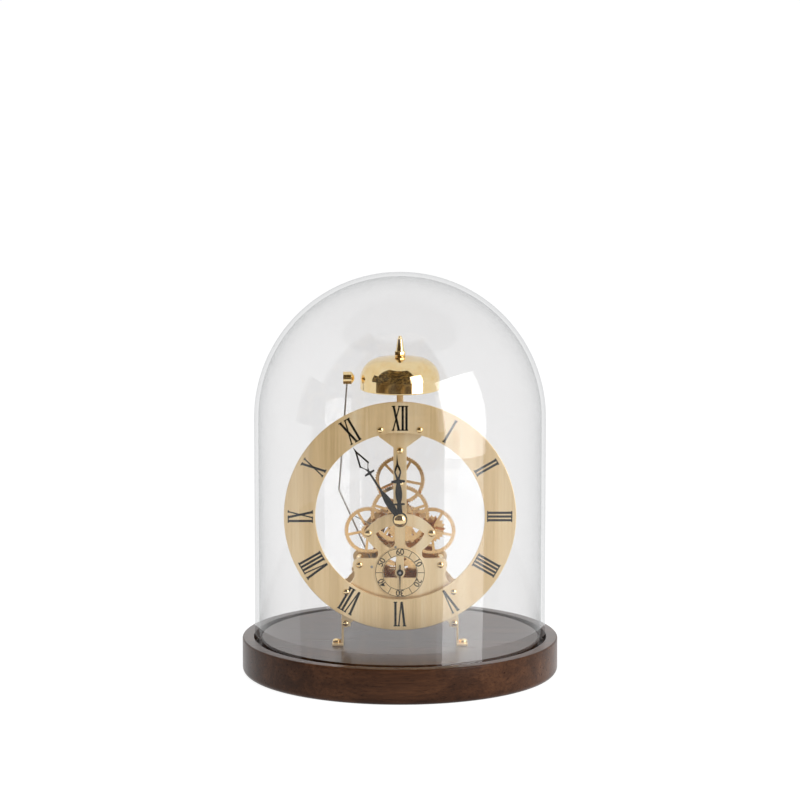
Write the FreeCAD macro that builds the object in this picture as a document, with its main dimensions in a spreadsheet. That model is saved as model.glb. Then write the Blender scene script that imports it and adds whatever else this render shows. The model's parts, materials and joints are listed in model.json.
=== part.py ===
import FreeCAD, Part
import math
import os
import re
import Sketcher

# Glass-domed skeleton table clock with a passing-strike bell on a round walnut base.
# Millimetres, +Z up, the dial faces -Y, origin at the centre of the underside.

VECTOR = FreeCAD.Vector

SIZES = {
    # walnut base and its groove
    "base_rim": 8.7, "base_height": 25, "base_foot_round": 4, "base_rim_bevel": 0.9,
    "groove_play": 2.1, "groove_slack": 0.6, "groove_depth": 6,
    # glass dome
    "glass_radius": 101.3, "glass_wall": 3, "glass_height": 261.5,
    # movement plates
    "plate_front": 35.5, "plate_thick": 2, "plate_gap": 28,
    "fan_half_width": 17, "fan_top": 66, "fan_waist": 54.8, "fan_waist_half": 14.4,
    "bar_half_width": 4.55, "bar_shoulder": 47.5, "eye_top": 1, "eye_window_top": 7.3,
    "eye_half_width": 24.6, "eye_drop": 13, "eye_arc_radius": 27, "eye_band": 5.6, "eye_end_radius": 4.4,
    "eye_bar_half": 3.6, "eye_corner_round": 3.6, "eye_floor": 23, "eye_window_side": 16.8,
    "neck_half_width": 15.3, "neck_top": 24.6, "shelf_drop": 30.2, "shelf_round": 2,
    "ear_side": 28, "ear_drop": 34.9, "ear_radius": 4.7,
    "waist_half_width": 31.3, "waist_drop": 41, "flare_half_width": 34.8, "flare_drop": 48,
    "flare_round": 9.4, "lug_round": 11.6,
    "lug_side": 37.7, "lug_drop": 76, "lug_radius": 2.9, "lug_inner": 28.8, "plate_bottom": 72.6,
    "top_post_height": 45.4,
    "window_radius": 12.2, "window_floor": 44, "window_bar_half": 2.7, "window_boss_radius": 3.5,
    # chapter ring and seconds dial
    "ring_radius": 80, "ring_bore_radius": 58.3, "ring_thick": 1.5, "ring_gap": 3,
    "ring_post_top_side": 13.5, "ring_post_top": 60.5, "ring_post_low_side": 37, "ring_post_drop": 53,
    "ring_post_radius": 2.2, "ring_nut_radius": 2.1, "ring_nut_height": 1.6,
    "seconds_drop": 40.2, "seconds_dial_radius": 17.3, "seconds_dial_bore": 11.6, "seconds_dial_thick": 0.8,
    # pillars, screws and legs
    "pillar_radius": 2.4, "pillar_neck_radius": 1.7, "pillar_neck_length": 4,
    "lug_pillar_radius": 1.3,
    "screw_radius": 2.2, "screw_height": 1.7, "screw_crown": 1.3, "nut_radius": 2.6, "nut_height": 2,
    "leg_height": 16.2, "leg_thick": 1.4, "leg_side": 40.5, "leg_tab": 6.4, "leg_flange": 5, "leg_foot_depth": 13,
    "leg_arch_drop": 5, "foot_screw_radius": 3, "foot_screw_height": 2.6,
    # bell and its stand
    "bell_radius": 27.5, "bell_wall": 1.4, "bell_height": 22.8, "bell_drop_to_rim": 85.4,
    "bell_depth": 15.5, "bell_shoulder": 13.4, "bell_crown_radius": 9, "bell_crown_drop": 1.1,
    "bell_hole_radius": 2.6, "stand_width": 4.6, "stand_thick": 2, "stand_foot": 50, "stand_arm_drop": 9.7,
    "stud_radius": 2.4, "finial_flange_radius": 3.85, "finial_flange": 0.6, "finial_neck_radius": 1.9,
    "finial_neck": 0.4, "finial_nut_radius": 4.2, "finial_nut": 2.6, "finial_cone_base": 2.85,
    "finial_cone_tip": 1.35, "finial_cone": 10.7,
    # wheels: the arbor places not set by a wheel and its pinion
    "centre_wheel_radius": 20.2, "side_angle": 30, "third_angle": 262.4,
    "second_side": 13, "second_drop": 31.2, "first_side": 14.6, "first_drop": 46.8, "barrel_drop": 61.5,
    "escape_side": 11.5, "escape_drop": 46, "hammer_side": 19.5, "hammer_drop": 36.3,
    "motion_distance": 11, "motion_angle": 275, "top_wheel_radius": 17, "left_wheel_radius": 16.4,
    # tooth counts
    "centre_teeth": 72, "top_pinion_teeth": 9, "third_pinion_teeth": 9, "left_pinion_teeth": 18,
    "third_teeth": 60, "seconds_pinion_teeth": 8, "seconds_teeth": 36, "escape_pinion_teeth": 6,
    "escape_teeth": 15, "right_teeth": 60, "centre_drive_teeth": 32, "right_pinion_teeth": 20,
    "second_teeth": 26, "second_pinion_teeth": 12, "first_teeth": 30, "first_pinion_teeth": 10,
    "great_teeth": 36, "cannon_teeth": 8, "minute_teeth": 24, "minute_pinion_teeth": 8, "hour_teeth": 32,
    "top_teeth": 60, "left_teeth": 60, "ratchet_teeth": 18,
    # tooth form, in modules
    "tooth_addendum_share": 0.8, "tooth_dedendum_share": 1.0,
    # arbors and fits
    "arbor_radius": 0.9, "running_clearance": 0.05, "seat_clearance": 0.05, "end_shake": 0.2,
    "centre_arbor_radius": 1.5, "hour_pipe_radius": 2.6, "wheel_thick": 1.2, "pinion_thick": 1.8,
    "spoke_half_width": 0.9, "rim_width": 1.9, "wheel_hub_radius": 3.2,
    "cap_radius": 2.5, "cap_height": 1.5,
    # distances back from the front plate's inner face
    "hour_wheel_depth": 0.5, "minute_wheel_depth": 2, "great_wheel_depth": 1.5, "centre_wheel_depth": 3.8,
    "right_wheel_depth": 6, "side_wheel_depth": 8.2, "third_wheel_depth": 10.3, "cam_depth": 12.2,
    "second_wheel_depth": 14, "first_wheel_depth": 18.2, "seconds_wheel_depth": 20.6,
    "hammer_depth": 15.5, "escape_wheel_depth": 31.5, "balance_depth": 34.4, "bridge_depth": 37.4,
    # barrel and winding work
    "barrel_radius": 14.6, "barrel_length": 13.4, "barrel_wall": 1.2, "great_wheel_thick": 1.8,
    "barrel_arbor_radius": 2.4, "winding_square_half": 1.6, "winding_square_length": 7,
    "ratchet_radius": 7, "ratchet_tooth": 1.1, "click_side": 9.6, "click_rise": 4.4, "click_thick": 1.4,
    "click_beak_side": 2.1, "click_beak_rise": 8.05, "click_half_width": 1,
    # hands
    "hour_hand_depth": 17, "minute_hand_depth": 19, "hand_thick": 0.8, "hour_angle": 357.3,
    "minute_angle": 327.5, "hand_boss_radius": 5, "hand_nut_radius": 4.4, "hand_nut_height": 3,
    "minute_hand_length": 60, "hour_hand_length": 46, "seconds_hand_length": 17.4, "seconds_hand_depth": 4.1,
    "seconds_angle": 180, "seconds_boss_radius": 2.3, "seconds_tail_half": 0.45, "seconds_tail": 5.6,
    # escapement and balance
    "escape_wheel_radius": 6, "escape_tooth": 1.2, "escape_thick": 0.7, "lever_side": 13.6, "lever_drop": 54.8,
    "balance_side": 20, "balance_drop": 64, "balance_radius": 8.6, "balance_rim": 1.4, "balance_thick": 1.6,
    "bridge_thick": 1.5, "bridge_pillar_radius": 2, "bridge_right": 2, "bridge_right_drop": 48,
    "bridge_left": 30.5, "bridge_left_drop": 46, "bridge_edge": 3.2, "lever_half_width": 0.9,
    "lever_arm_share": 0.82, "pallet_angle": 57, "lever_fork_share": 0.6, "balance_arm_half": 0.6,
    # bell hammer
    "hammer_wire_radius": 0.6, "hammer_bend_side": 42.2, "hammer_bend_height": 14.4,
    "hammer_head_side": 36.3, "hammer_head_height": 93, "hammer_head_radius": 4.4, "hammer_head_length": 5.8,
    "hammer_head_cone": 2, "hammer_tail_side": 10.5, "hammer_tail_rise": 33.3,
    "hammer_tail_half_width": 1.5, "hammer_hub_radius": 2, "hammer_bend_radius": 4,
    "cam_radius": 6.2, "cam_low_radius": 3.4, "cam_thick": 1, "spring_wire_radius": 0.35, "spring_side": 18.6,
    "spring_drop": 10.6, "spring_reach": 31.2, "spring_reach_drop": 4.5, "spring_depth": 16.8,
    "spring_post_radius": 0.8,
    # one overrun for every cut
    "overrun": 1,
    # the corner of a 3-4-5 triangle on an arc, in the arc's radius
    "arc_side_share": 0.6, "arc_rise_share": 0.8,
    # shares of a piece's own radius, height or depth
    "lug_dip_share": 0.3, "leg_foot_share": 1.5, "ring_nut_side_share": 0.7,
    "cap_side_share": 0.6, "foot_screw_side_share": 0.4, "foot_screw_face_share": 0.6,
    "click_head_share": 1.1, "click_head_rise_share": 1.6, "hammer_nose_share": 0.35,
    "hand_nut_face_share": 0.55, "hand_nut_face_rise_share": 0.08, "hand_nut_crown_share": 0.88,
    "hand_nut_crown_rise_share": 0.42,
}

doc = FreeCAD.newDocument("skeleton_clock")
sheet = doc.addObject("Spreadsheet::Sheet", "sizes")
for row, (alias, number) in enumerate(SIZES.items(), start=1):
    sheet.set("A%d" % row, str(number))
    sheet.setAlias("A%d" % row, alias)
doc.recompute()


# Lengths that follow from the sizes
FOLLOWING = {
    "base_radius": "(glass_radius + base_rim)",
    "groove_radius": "(glass_radius + groove_slack)",
    "plateau_radius": "(glass_radius - glass_wall - groove_play)",
    "dial_height": "(base_height + leg_height + lug_drop)",
    "stand_arm_height": "(bell_drop_to_rim + bell_height - stand_arm_drop)",
}
WORD = r"[a-z][a-z_0-9]*"


def bound(text):
    """An expression on aliases as another object of the document reads it."""
    plain = re.sub(WORD, lambda word: FOLLOWING.get(word.group(), word.group()), text)
    return re.sub(WORD, lambda word: "sizes." + word.group() if word.group() in SIZES
                  else word.group(), plain)


def size(text):
    return float(sheet.evalExpression(bound(text)))


# Places along Y: the front plate's inner face, and a depth behind it
INNER = "(plate_thick - plate_front)"


def depth(text):
    return "(%s + %s)" % (INNER, text)


# Arbor centres as (x, height above the dial centre)
SIDE_REACH = "(centre_wheel_radius * (1 + left_pinion_teeth / centre_teeth))"
THIRD_REACH = "(centre_wheel_radius * (1 + third_pinion_teeth / centre_teeth))"
TOP_REACH = "(centre_wheel_radius * (1 + top_pinion_teeth / centre_teeth))"
CENTRE = ("0", "0")
TOP = ("0", TOP_REACH)
LEFT = ("(-%s * cos(side_angle))" % SIDE_REACH, "(-%s * sin(side_angle))" % SIDE_REACH)
RIGHT = ("(%s * cos(side_angle))" % SIDE_REACH, LEFT[1])
THIRD = ("(%s * cos(third_angle))" % THIRD_REACH, "(%s * sin(third_angle))" % THIRD_REACH)
SECONDS = ("0", "(-seconds_drop)")
ESCAPE = ("(-escape_side)", "(-escape_drop)")
SECOND = ("second_side", "(-second_drop)")
FIRST = ("first_side", "(-first_drop)")
BARREL = ("0", "(-barrel_drop)")
HAMMER = ("(-hammer_side)", "(-hammer_drop)")
MOTION = ("(motion_distance * cos(motion_angle))", "(motion_distance * sin(motion_angle))")
LEVER = ("(-lever_side)", "(-lever_drop)")
BALANCE = ("(-balance_side)", "(-balance_drop)")

PARTS = []


def keep(thing, label):
    thing.Label = label
    PARTS.append(thing)
    return thing


def place(thing, x="0", y="0", z="0", turn=None):
    """Puts an object at bound coordinates, turned about Y by a bound angle in degrees."""
    thing.Placement = FreeCAD.Placement(VECTOR(size(x), size(y), size(z)),
                                        FreeCAD.Rotation(VECTOR(0, 1, 0), size(turn) if turn else 0))
    for key, text in (("x", x), ("y", y), ("z", z)):
        if text != "0":
            thing.setExpression("Placement.Base." + key, bound(text))
    if turn:
        thing.setExpression("Placement.Rotation.Angle", bound(turn) + " * 1 deg")
    return thing


def on_dial(centre):
    """The x and z of a point given from the dial centre."""
    return centre[0], "(dial_height + %s)" % centre[1]


# Sketches: outlines whose every corner is bound to the sheet

def pin_point(sketch, edge, end, corner):
    for kind, text, axis in (("DistanceX", corner[0], -2), ("DistanceY", corner[1], -1)):
        if text == "0":
            sketch.addConstraint(Sketcher.Constraint("PointOnObject", edge, end, axis))
        else:
            at = sketch.addConstraint(Sketcher.Constraint(kind, -1, 1, edge, end, size(text)))
            sketch.setExpression("Constraints[%d]" % at, bound(text))


def bind_radius(sketch, edge, text):
    at = sketch.addConstraint(Sketcher.Constraint("Radius", edge, size(text)))
    sketch.setExpression("Constraints[%d]" % at, bound(text))


def arc_between(start, end, radius, turn):
    """The minor arc of a radius from start to end; turn 1 runs anticlockwise, -1 clockwise."""
    half = (end - start) * 0.5
    rise = math.sqrt(max(radius ** 2 - half.Length ** 2, 0))
    normal = VECTOR(-half.y, half.x, 0).normalize()
    centre = start + half + normal * rise * turn
    first, last = (start, end) if turn > 0 else (end, start)
    angles = [math.atan2((p - centre).y, (p - centre).x) for p in (first, last)]
    if angles[1] < angles[0]:
        angles[1] += 2 * math.pi
    return Part.ArcOfCircle(Part.Circle(centre, VECTOR(0, 0, 1), radius), angles[0], angles[1])


def draw_loop(sketch, corners):
    """A closed outline. A corner is (x, y), or (x, y, radius, turn) where an arc leaves it."""
    points = [VECTOR(size(c[0]), size(c[1]), 0) for c in corners]
    ends = []
    for i, corner in enumerate(corners):
        start, end = points[i], points[(i + 1) % len(points)]
        if len(corner) == 2:
            edge = sketch.addGeometry(Part.LineSegment(start, end), False)
            ends.append((edge, 1, 2))
        else:
            edge = sketch.addGeometry(arc_between(start, end, size(corner[2]), corner[3]), False)
            ends.append((edge, 1, 2) if corner[3] > 0 else (edge, 2, 1))
    for i, (edge, first, last) in enumerate(ends):
        following = ends[(i + 1) % len(ends)]
        sketch.addConstraint(Sketcher.Constraint("Coincident", edge, last, following[0], following[1]))
        pin_point(sketch, edge, first, corners[i])
        if len(corners[i]) > 2:
            bind_radius(sketch, edge, corners[i][2])


def draw_circle(sketch, centre, radius):
    edge = sketch.addGeometry(Part.Circle(VECTOR(size(centre[0]), size(centre[1]), 0),
                                          VECTOR(0, 0, 1), size(radius)), False)
    bind_radius(sketch, edge, radius)
    pin_point(sketch, edge, 3, centre)


def new_sketch(body, role, name):
    sketch = body.newObject("Sketcher::SketchObject", name)
    plane = [item for item in body.Origin.OriginFeatures if item.Role == role][0]
    sketch.AttachmentSupport = [(plane, "")]
    sketch.MapMode = "FlatFace"
    return sketch


def flat(label, loops, thick, holes=()):
    """A piece cut from sheet: loops of corners and round holes in the XZ plane, padded along +Y."""
    body = doc.addObject("PartDesign::Body", label)
    sketch = new_sketch(body, "XZ_Plane", label + "_outline")
    for corners in loops:
        draw_loop(sketch, corners)
    for centre, radius in holes:
        draw_circle(sketch, centre, radius)
    pad = body.newObject("PartDesign::Pad", label + "_pad")
    pad.Profile = sketch
    pad.setExpression("Length", bound(thick))
    pad.Reversed = True
    return body


def turned(label, corners, upright=False):
    """A turned piece: a half profile of (radius, height) spun about Z if upright, and else about Y."""
    body = doc.addObject("PartDesign::Body", label)
    sketch = new_sketch(body, "XZ_Plane" if upright else "XY_Plane", label + "_profile")
    draw_loop(sketch, corners)
    spin = body.newObject("PartDesign::Revolution", label + "_spin")
    spin.Profile = sketch
    spin.ReferenceAxis = (sketch, ["V_Axis"])
    spin.Angle = 360
    return body


def group(label, things):
    compound = doc.addObject("Part::Compound", label)
    compound.Links = things
    return keep(compound, label)


def mirrored_half(corners):
    """The left half of a symmetrical outline or the left one of two loops, from the right one."""
    out = []
    for i in range(len(corners) - 1, -1, -1):
        x, y = corners[i][:2]
        out.append((x if x == "0" else "(-(%s))" % x, y) + tuple(corners[i - 1][2:]))
    return out


def belt(centres, radius):
    """An outline that wraps round bosses of one radius, their centres listed anticlockwise."""
    out = []
    for i, (x, y) in enumerate(centres):
        for start, end, leaves in ((centres[i - 1], (x, y), True),
                                   ((x, y), centres[(i + 1) % len(centres)], False)):
            along_x, along_y = "(%s - %s)" % (end[0], start[0]), "(%s - %s)" % (end[1], start[1])
            reach = "sqrt(%s ^ 2 + %s ^ 2)" % (along_x, along_y)
            point = ("(%s + %s * %s / %s)" % (x, radius, along_y, reach),
                     "(%s - %s * %s / %s)" % (y, radius, along_x, reach))
            out.append(point + ((radius, 1) if leaves else ()))
    return out


def link(start, end, radius):
    """The outline of a bar with round ends about two centres, in quarter arcs."""
    (x1, y1), (x2, y2) = start, end
    reach = "sqrt((%s - %s) ^ 2 + (%s - %s) ^ 2)" % (x2, x1, y2, y1)
    along_x, along_y = "(%s * (%s - %s) / %s)" % (radius, x2, x1, reach), \
        "(%s * (%s - %s) / %s)" % (radius, y2, y1, reach)
    return [
        ("(%s + %s)" % (x1, along_y), "(%s - %s)" % (y1, along_x)),
        ("(%s + %s)" % (x2, along_y), "(%s - %s)" % (y2, along_x), radius, 1),
        ("(%s + %s)" % (x2, along_x), "(%s + %s)" % (y2, along_y), radius, 1),
        ("(%s - %s)" % (x2, along_y), "(%s + %s)" % (y2, along_x)),
        ("(%s - %s)" % (x1, along_y), "(%s + %s)" % (y1, along_x), radius, 1),
        ("(%s - %s)" % (x1, along_x), "(%s - %s)" % (y1, along_y), radius, 1),
    ]


def rod_profile(radius, start, end):
    """A closed half profile of a plain rod between two heights."""
    return [("0", start), (radius, start), (radius, end), ("0", end)]


# Toothed shapes, worked out by formula in the XZ plane and raised along +Y

def prism(points, thick, inner=()):
    loops = [points] + list(inner)
    wires = [Part.makePolygon([VECTOR(x, 0, z) for x, z in loop + loop[:1]]) for loop in loops]
    return Part.Face(wires, "Part::FaceMakerBullseye").extrude(VECTOR(0, thick, 0))


def rod(radius, start, end):
    return Part.makeCylinder(radius, end - start, VECTOR(0, start, 0), VECTOR(0, 1, 0))


def polar(radius, angle):
    return radius * math.cos(math.radians(angle)), radius * math.sin(math.radians(angle))


def teeth_outline(radius, teeth, phase):
    """Pointed cycloid-like teeth about a pitch radius; phase is the angle of one tooth's tip."""
    module = 2 * radius / teeth
    tip = radius + size("tooth_addendum_share") * module
    root = radius - size("tooth_dedendum_share") * module
    pitch = 360 / teeth
    points = []
    for i in range(teeth):
        points.append(polar(root, phase + (i - 0.5) * pitch))
        points.append(polar(tip, phase + i * pitch))
    return points


WINDOW_CHORDS = 4


def spoke_windows(spokes, inner, outer, first_angle):
    """The openings between spokes; the rim and hub sides follow their circles in short chords."""
    half = size("spoke_half_width")
    windows = []
    for i in range(spokes):
        start, end = first_angle + i * 360 / spokes, first_angle + (i + 1) * 360 / spokes
        loop = []
        for radius, forward in ((outer, True), (inner, False)):
            margin = math.degrees(math.asin(half / radius))
            steps = range(WINDOW_CHORDS + 1) if forward else (WINDOW_CHORDS, WINDOW_CHORDS / 2, 0)
            for step in steps:
                share = step / WINDOW_CHORDS
                loop.append(polar(radius, start + margin + (end - start - 2 * margin) * share))
        windows.append(loop)
    return windows


def meshed_phase(phase, teeth, direction, follower_teeth):
    """The tip angle of a gear that meshes, in a direction, with one whose tip angle is phase."""
    pitch, follower_pitch = 360 / teeth, 360 / follower_teeth
    past_tip = ((direction - phase) / pitch) % 1
    return direction + 180 + (past_tip + 0.5) * follower_pitch


def direction_of(start, end):
    return math.degrees(math.atan2(size(end[1]) - size(start[1]), size(end[0]) - size(start[0])))


def distance_of(start, end):
    return math.hypot(size(end[0]) - size(start[0]), size(end[1]) - size(start[1]))


def spur(radius, teeth, phase, start, thick):
    return prism(teeth_outline(radius, int(teeth), phase), thick).translated(VECTOR(0, start, 0))


def spoked(radius, teeth, phase, start, thick, first_spoke, spokes=5):
    module = 2 * radius / teeth
    rim = radius - size("tooth_dedendum_share") * module - size("rim_width")
    windows = spoke_windows(spokes, size("wheel_hub_radius"), rim, first_spoke)
    return prism(teeth_outline(radius, int(teeth), phase), thick, windows).translated(VECTOR(0, start, 0))


def toothed_part(label, centre, solids):
    """One gear cluster, in its own frame: Y from the front plate's inner face, X and Z from its arbor."""
    feature = doc.addObject("Part::Feature", label)
    feature.Shape = solids[0].fuse(solids[1:]).removeSplitter()
    x, z = on_dial(centre)
    return keep(place(feature, x, INNER, z), label)


def pair(first, second, first_teeth, second_teeth):
    """The pitch radii of two meshed gears on two arbors."""
    distance = distance_of(first, second)
    share = size(first_teeth) / (size(first_teeth) + size(second_teeth))
    return distance * share, distance * (1 - share)


# Walnut base with the groove that locates the glass

def make_base():
    corners = [
        ("0", "0"), ("base_radius - base_foot_round", "0", "base_foot_round", 1),
        ("base_radius", "base_foot_round"), ("base_radius", "base_height - base_rim_bevel"),
        ("base_radius - base_rim_bevel", "base_height"),
        ("groove_radius", "base_height"),
        ("groove_radius", "base_height - groove_depth"),
        ("plateau_radius", "base_height - groove_depth"), ("plateau_radius", "base_height"),
        ("0", "base_height"),
    ]
    keep(turned("walnut_base", corners, upright=True), "walnut_base")


# Glass dome standing in the groove

def make_dome():
    inner = "(glass_radius - glass_wall)"
    spring_line = "(glass_height - glass_radius)"
    corners = [
        (inner, "0"), ("glass_radius", "0"), ("glass_radius", spring_line, "glass_radius", 1),
        ("0", "glass_height"), ("0", "glass_height - glass_wall", inner, -1), (inner, spring_line),
    ]
    dome = keep(turned("glass_dome", corners, upright=True), "glass_dome")
    place(dome, z="base_height - groove_depth")


# The two movement plates, one outline for both

def plate_outline():
    eye_end = "(eye_half_width - eye_end_radius)"
    right = [
        ("lug_inner", "(-plate_bottom)", "lug_round", -1),
        ("lug_side - lug_radius", "(-lug_drop - lug_dip_share * lug_radius)", "lug_radius", 1),
        ("leg_side", "(-lug_drop)"),
        ("ring_post_low_side + ring_post_radius", "(-ring_post_drop)", "ring_post_radius", 1),
        ("ring_post_low_side", "(ring_post_radius - ring_post_drop)"),
        ("flare_half_width", "(-flare_drop)", "flare_round", -1),
        ("waist_half_width", "(-waist_drop)"),
        ("ear_side + ear_radius", "(-ear_drop)", "ear_radius", 1),
        ("ear_side", "(ear_radius - ear_drop)"),
        ("neck_half_width + shelf_round", "(-shelf_drop)", "shelf_round", -1),
        ("neck_half_width", "(shelf_round - shelf_drop)"),
        ("neck_half_width", "(-neck_top)", "eye_arc_radius", 1),
        ("%s + arc_side_share * eye_end_radius" % eye_end, "(-eye_drop - arc_rise_share * eye_end_radius)",
         "eye_end_radius", 1),
        ("%s + arc_side_share * eye_end_radius" % eye_end, "(arc_rise_share * eye_end_radius - eye_drop)",
         "eye_arc_radius", 1),
        ("bar_half_width", "eye_top"),
        ("bar_half_width", "bar_shoulder"), ("fan_waist_half", "fan_waist"),
        ("fan_half_width", "fan_top - shelf_round", "shelf_round", 1),
        ("fan_half_width - shelf_round", "fan_top"),
    ]
    return right + mirrored_half(right)


def eye_window():
    """The right opening of the eye, between its bands and the central bar."""
    return [
        ("eye_bar_half + eye_corner_round", "(-eye_floor)", "eye_arc_radius - eye_band", 1),
        ("eye_window_side", "(-eye_drop)", "eye_arc_radius - eye_band", 1),
        ("eye_bar_half", "(-eye_window_top)"),
        ("eye_bar_half", "(eye_corner_round - eye_floor)", "eye_corner_round", 1),
    ]


def seconds_window():
    """The right opening behind the seconds dial, beside the bar and boss that carry its arbor."""
    boss_side, boss_drop = "(arc_side_share * window_boss_radius)", "(arc_rise_share * window_boss_radius)"
    return [
        ("window_bar_half", "(sqrt(window_radius ^ 2 - window_bar_half ^ 2) - seconds_drop)"),
        ("window_bar_half", "(sqrt(window_boss_radius ^ 2 - window_bar_half ^ 2) - seconds_drop)",
         "window_boss_radius", -1),
        (boss_side, "(-%s - seconds_drop)" % boss_drop), (boss_side, "(-window_floor)"),
        ("sqrt(window_radius ^ 2 - (window_floor - seconds_drop) ^ 2)", "(-window_floor)",
         "window_radius", 1),
    ]


PILLAR_PLACES = [("0", "top_post_height"), ("ear_side", "(-ear_drop)"), ("(-ear_side)", "(-ear_drop)"),
                 ("lug_side", "(-lug_drop)"), ("(-lug_side)", "(-lug_drop)")]
PLAIN_ARBORS = [TOP, LEFT, RIGHT, THIRD, SECOND, FIRST, HAMMER]


def make_plates():
    pivot_hole = "arbor_radius + running_clearance"
    windows = [eye_window(), mirrored_half(eye_window()), seconds_window(), mirrored_half(seconds_window())]
    shared = [(centre, pivot_hole) for centre in PLAIN_ARBORS + [SECONDS, ESCAPE]]
    front = shared + [(CENTRE, "hour_pipe_radius + running_clearance"),
                      (BARREL, pivot_hole)]
    back = shared + [(CENTRE, pivot_hole), (LEVER, pivot_hole), (BALANCE, pivot_hole),
                     (BARREL, "barrel_arbor_radius + running_clearance")]
    for label, y, holes in (("front_plate", "-plate_front", front), ("back_plate", depth("plate_gap"), back)):
        plate = keep(flat(label, [plate_outline()] + windows, "plate_thick", holes), label)
        place(plate, "0", y, "dial_height")


# Pillars between the plates, with their front screws and back nuts

def make_pillars():
    pillars, screws, nuts = [], [], []
    for number, centre in enumerate(PILLAR_PLACES):
        x, z = on_dial(centre)
        at_leg = number > 2
        short = "leg_thick" if at_leg else "0"
        length = "(plate_gap - 2 * %s)" % short
        corners = [("0", "0"), ("pillar_radius", "0"), ("pillar_radius", "pillar_neck_length"),
                   ("pillar_neck_radius", "pillar_neck_length + pillar_radius"),
                   ("pillar_neck_radius", "%s - pillar_neck_length - pillar_radius" % length),
                   ("pillar_radius", "%s - pillar_neck_length" % length), ("pillar_radius", length),
                   ("0", length)]
        if at_leg:
            corners = rod_profile("lug_pillar_radius", "0", length)
        pillars.append(place(turned("pillar_%d" % number, corners), x, depth(short), z))
        screw = turned("pillar_screw_%d" % number, [
            ("0", "0"), ("0.5 * screw_radius", "0"), ("screw_radius", "screw_crown"),
            ("screw_radius", "screw_height"), ("0", "screw_height")])
        screws.append(place(screw, x, "-plate_front - screw_height", z))
        nut = doc.addObject("Part::Prism", "pillar_nut_%d" % number)
        nut.Polygon = 6
        nut.setExpression("Circumradius", bound("nut_radius"))
        nut.setExpression("Height", bound("nut_height"))
        nut.Placement = FreeCAD.Placement(VECTOR(size(x), size(depth("plate_gap + plate_thick")), size(z)),
                                          FreeCAD.Rotation(VECTOR(1, 0, 0), -90))
        nut.setExpression("Placement.Base.x", bound(x))
        nut.setExpression("Placement.Base.y", bound(depth("plate_gap + plate_thick")))
        nut.setExpression("Placement.Base.z", bound(z))
        nuts.append(nut)
    group("pillars", pillars)
    group("pillar_screws", screws)
    group("pillar_nuts", nuts)


# Chapter ring on four posts

def make_ring():
    ring = keep(flat("chapter_ring", [], "ring_thick",
                     [(CENTRE, "ring_radius"), (CENTRE, "ring_bore_radius")]), "chapter_ring")
    place(ring, "0", "-plate_front - ring_gap - ring_thick", "dial_height")
    posts, nuts = [], []
    for number, centre in enumerate([("ring_post_top_side", "ring_post_top"),
                                     ("(-ring_post_top_side)", "ring_post_top"),
                                     ("ring_post_low_side", "(-ring_post_drop)"),
                                     ("(-ring_post_low_side)", "(-ring_post_drop)")]):
        x, z = on_dial(centre)
        post = turned("ring_post_%d" % number, rod_profile("ring_post_radius", "0", "ring_gap"))
        posts.append(place(post, x, "-plate_front - ring_gap", z))
        nut = turned("ring_screw_%d" % number, [
            ("0", "0"), ("0.5 * ring_nut_radius", "0"), ("ring_nut_radius", "ring_nut_side_share * ring_nut_height"),
            ("ring_nut_radius", "ring_nut_height"), ("0", "ring_nut_height")])
        nuts.append(place(nut, x, "-plate_front - ring_gap - ring_thick - ring_nut_height", z))
    group("ring_posts", posts)
    group("ring_screws", nuts)


# Seconds dial on the front plate

def make_seconds_dial():
    bar = "window_bar_half"
    bore = "seconds_dial_bore"
    edge = "sqrt(%s ^ 2 - %s ^ 2)" % (bore, bar)
    half = [
        ("sqrt(%s ^ 2 - (window_floor - seconds_drop) ^ 2)" % bore, "(seconds_drop - window_floor)", bore, 1),
        (bar, edge),
        (bar, "sqrt(window_boss_radius ^ 2 - %s ^ 2)" % bar, "window_boss_radius", -1),
        ("(arc_side_share * window_boss_radius)", "(-arc_rise_share * window_boss_radius)"),
        ("(arc_side_share * window_boss_radius)", "(seconds_drop - window_floor)"),
    ]
    dial = flat("seconds_dial", [half, mirrored_half(half)], "seconds_dial_thick",
                [(CENTRE, "seconds_dial_radius"), (CENTRE, "arbor_radius + running_clearance")])
    x, z = on_dial(SECONDS)
    place(keep(dial, "seconds_dial"), x, "-plate_front - seconds_dial_thick", z)


# Domed caps over the front pivots

def make_caps():
    caps = []
    for number, centre in enumerate([LEFT, RIGHT, TOP]):
        x, z = on_dial(centre)
        cap = turned("pivot_cap_%d" % number, [
            ("0", "0"), ("0.5 * cap_radius", "0"), ("cap_radius", "cap_side_share * cap_height"),
            ("cap_radius", "cap_height"), ("0", "cap_height")])
        caps.append(place(cap, x, "-plate_front - cap_height", z))
    group("pivot_caps", caps)


# Folded legs under the lower lugs

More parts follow.
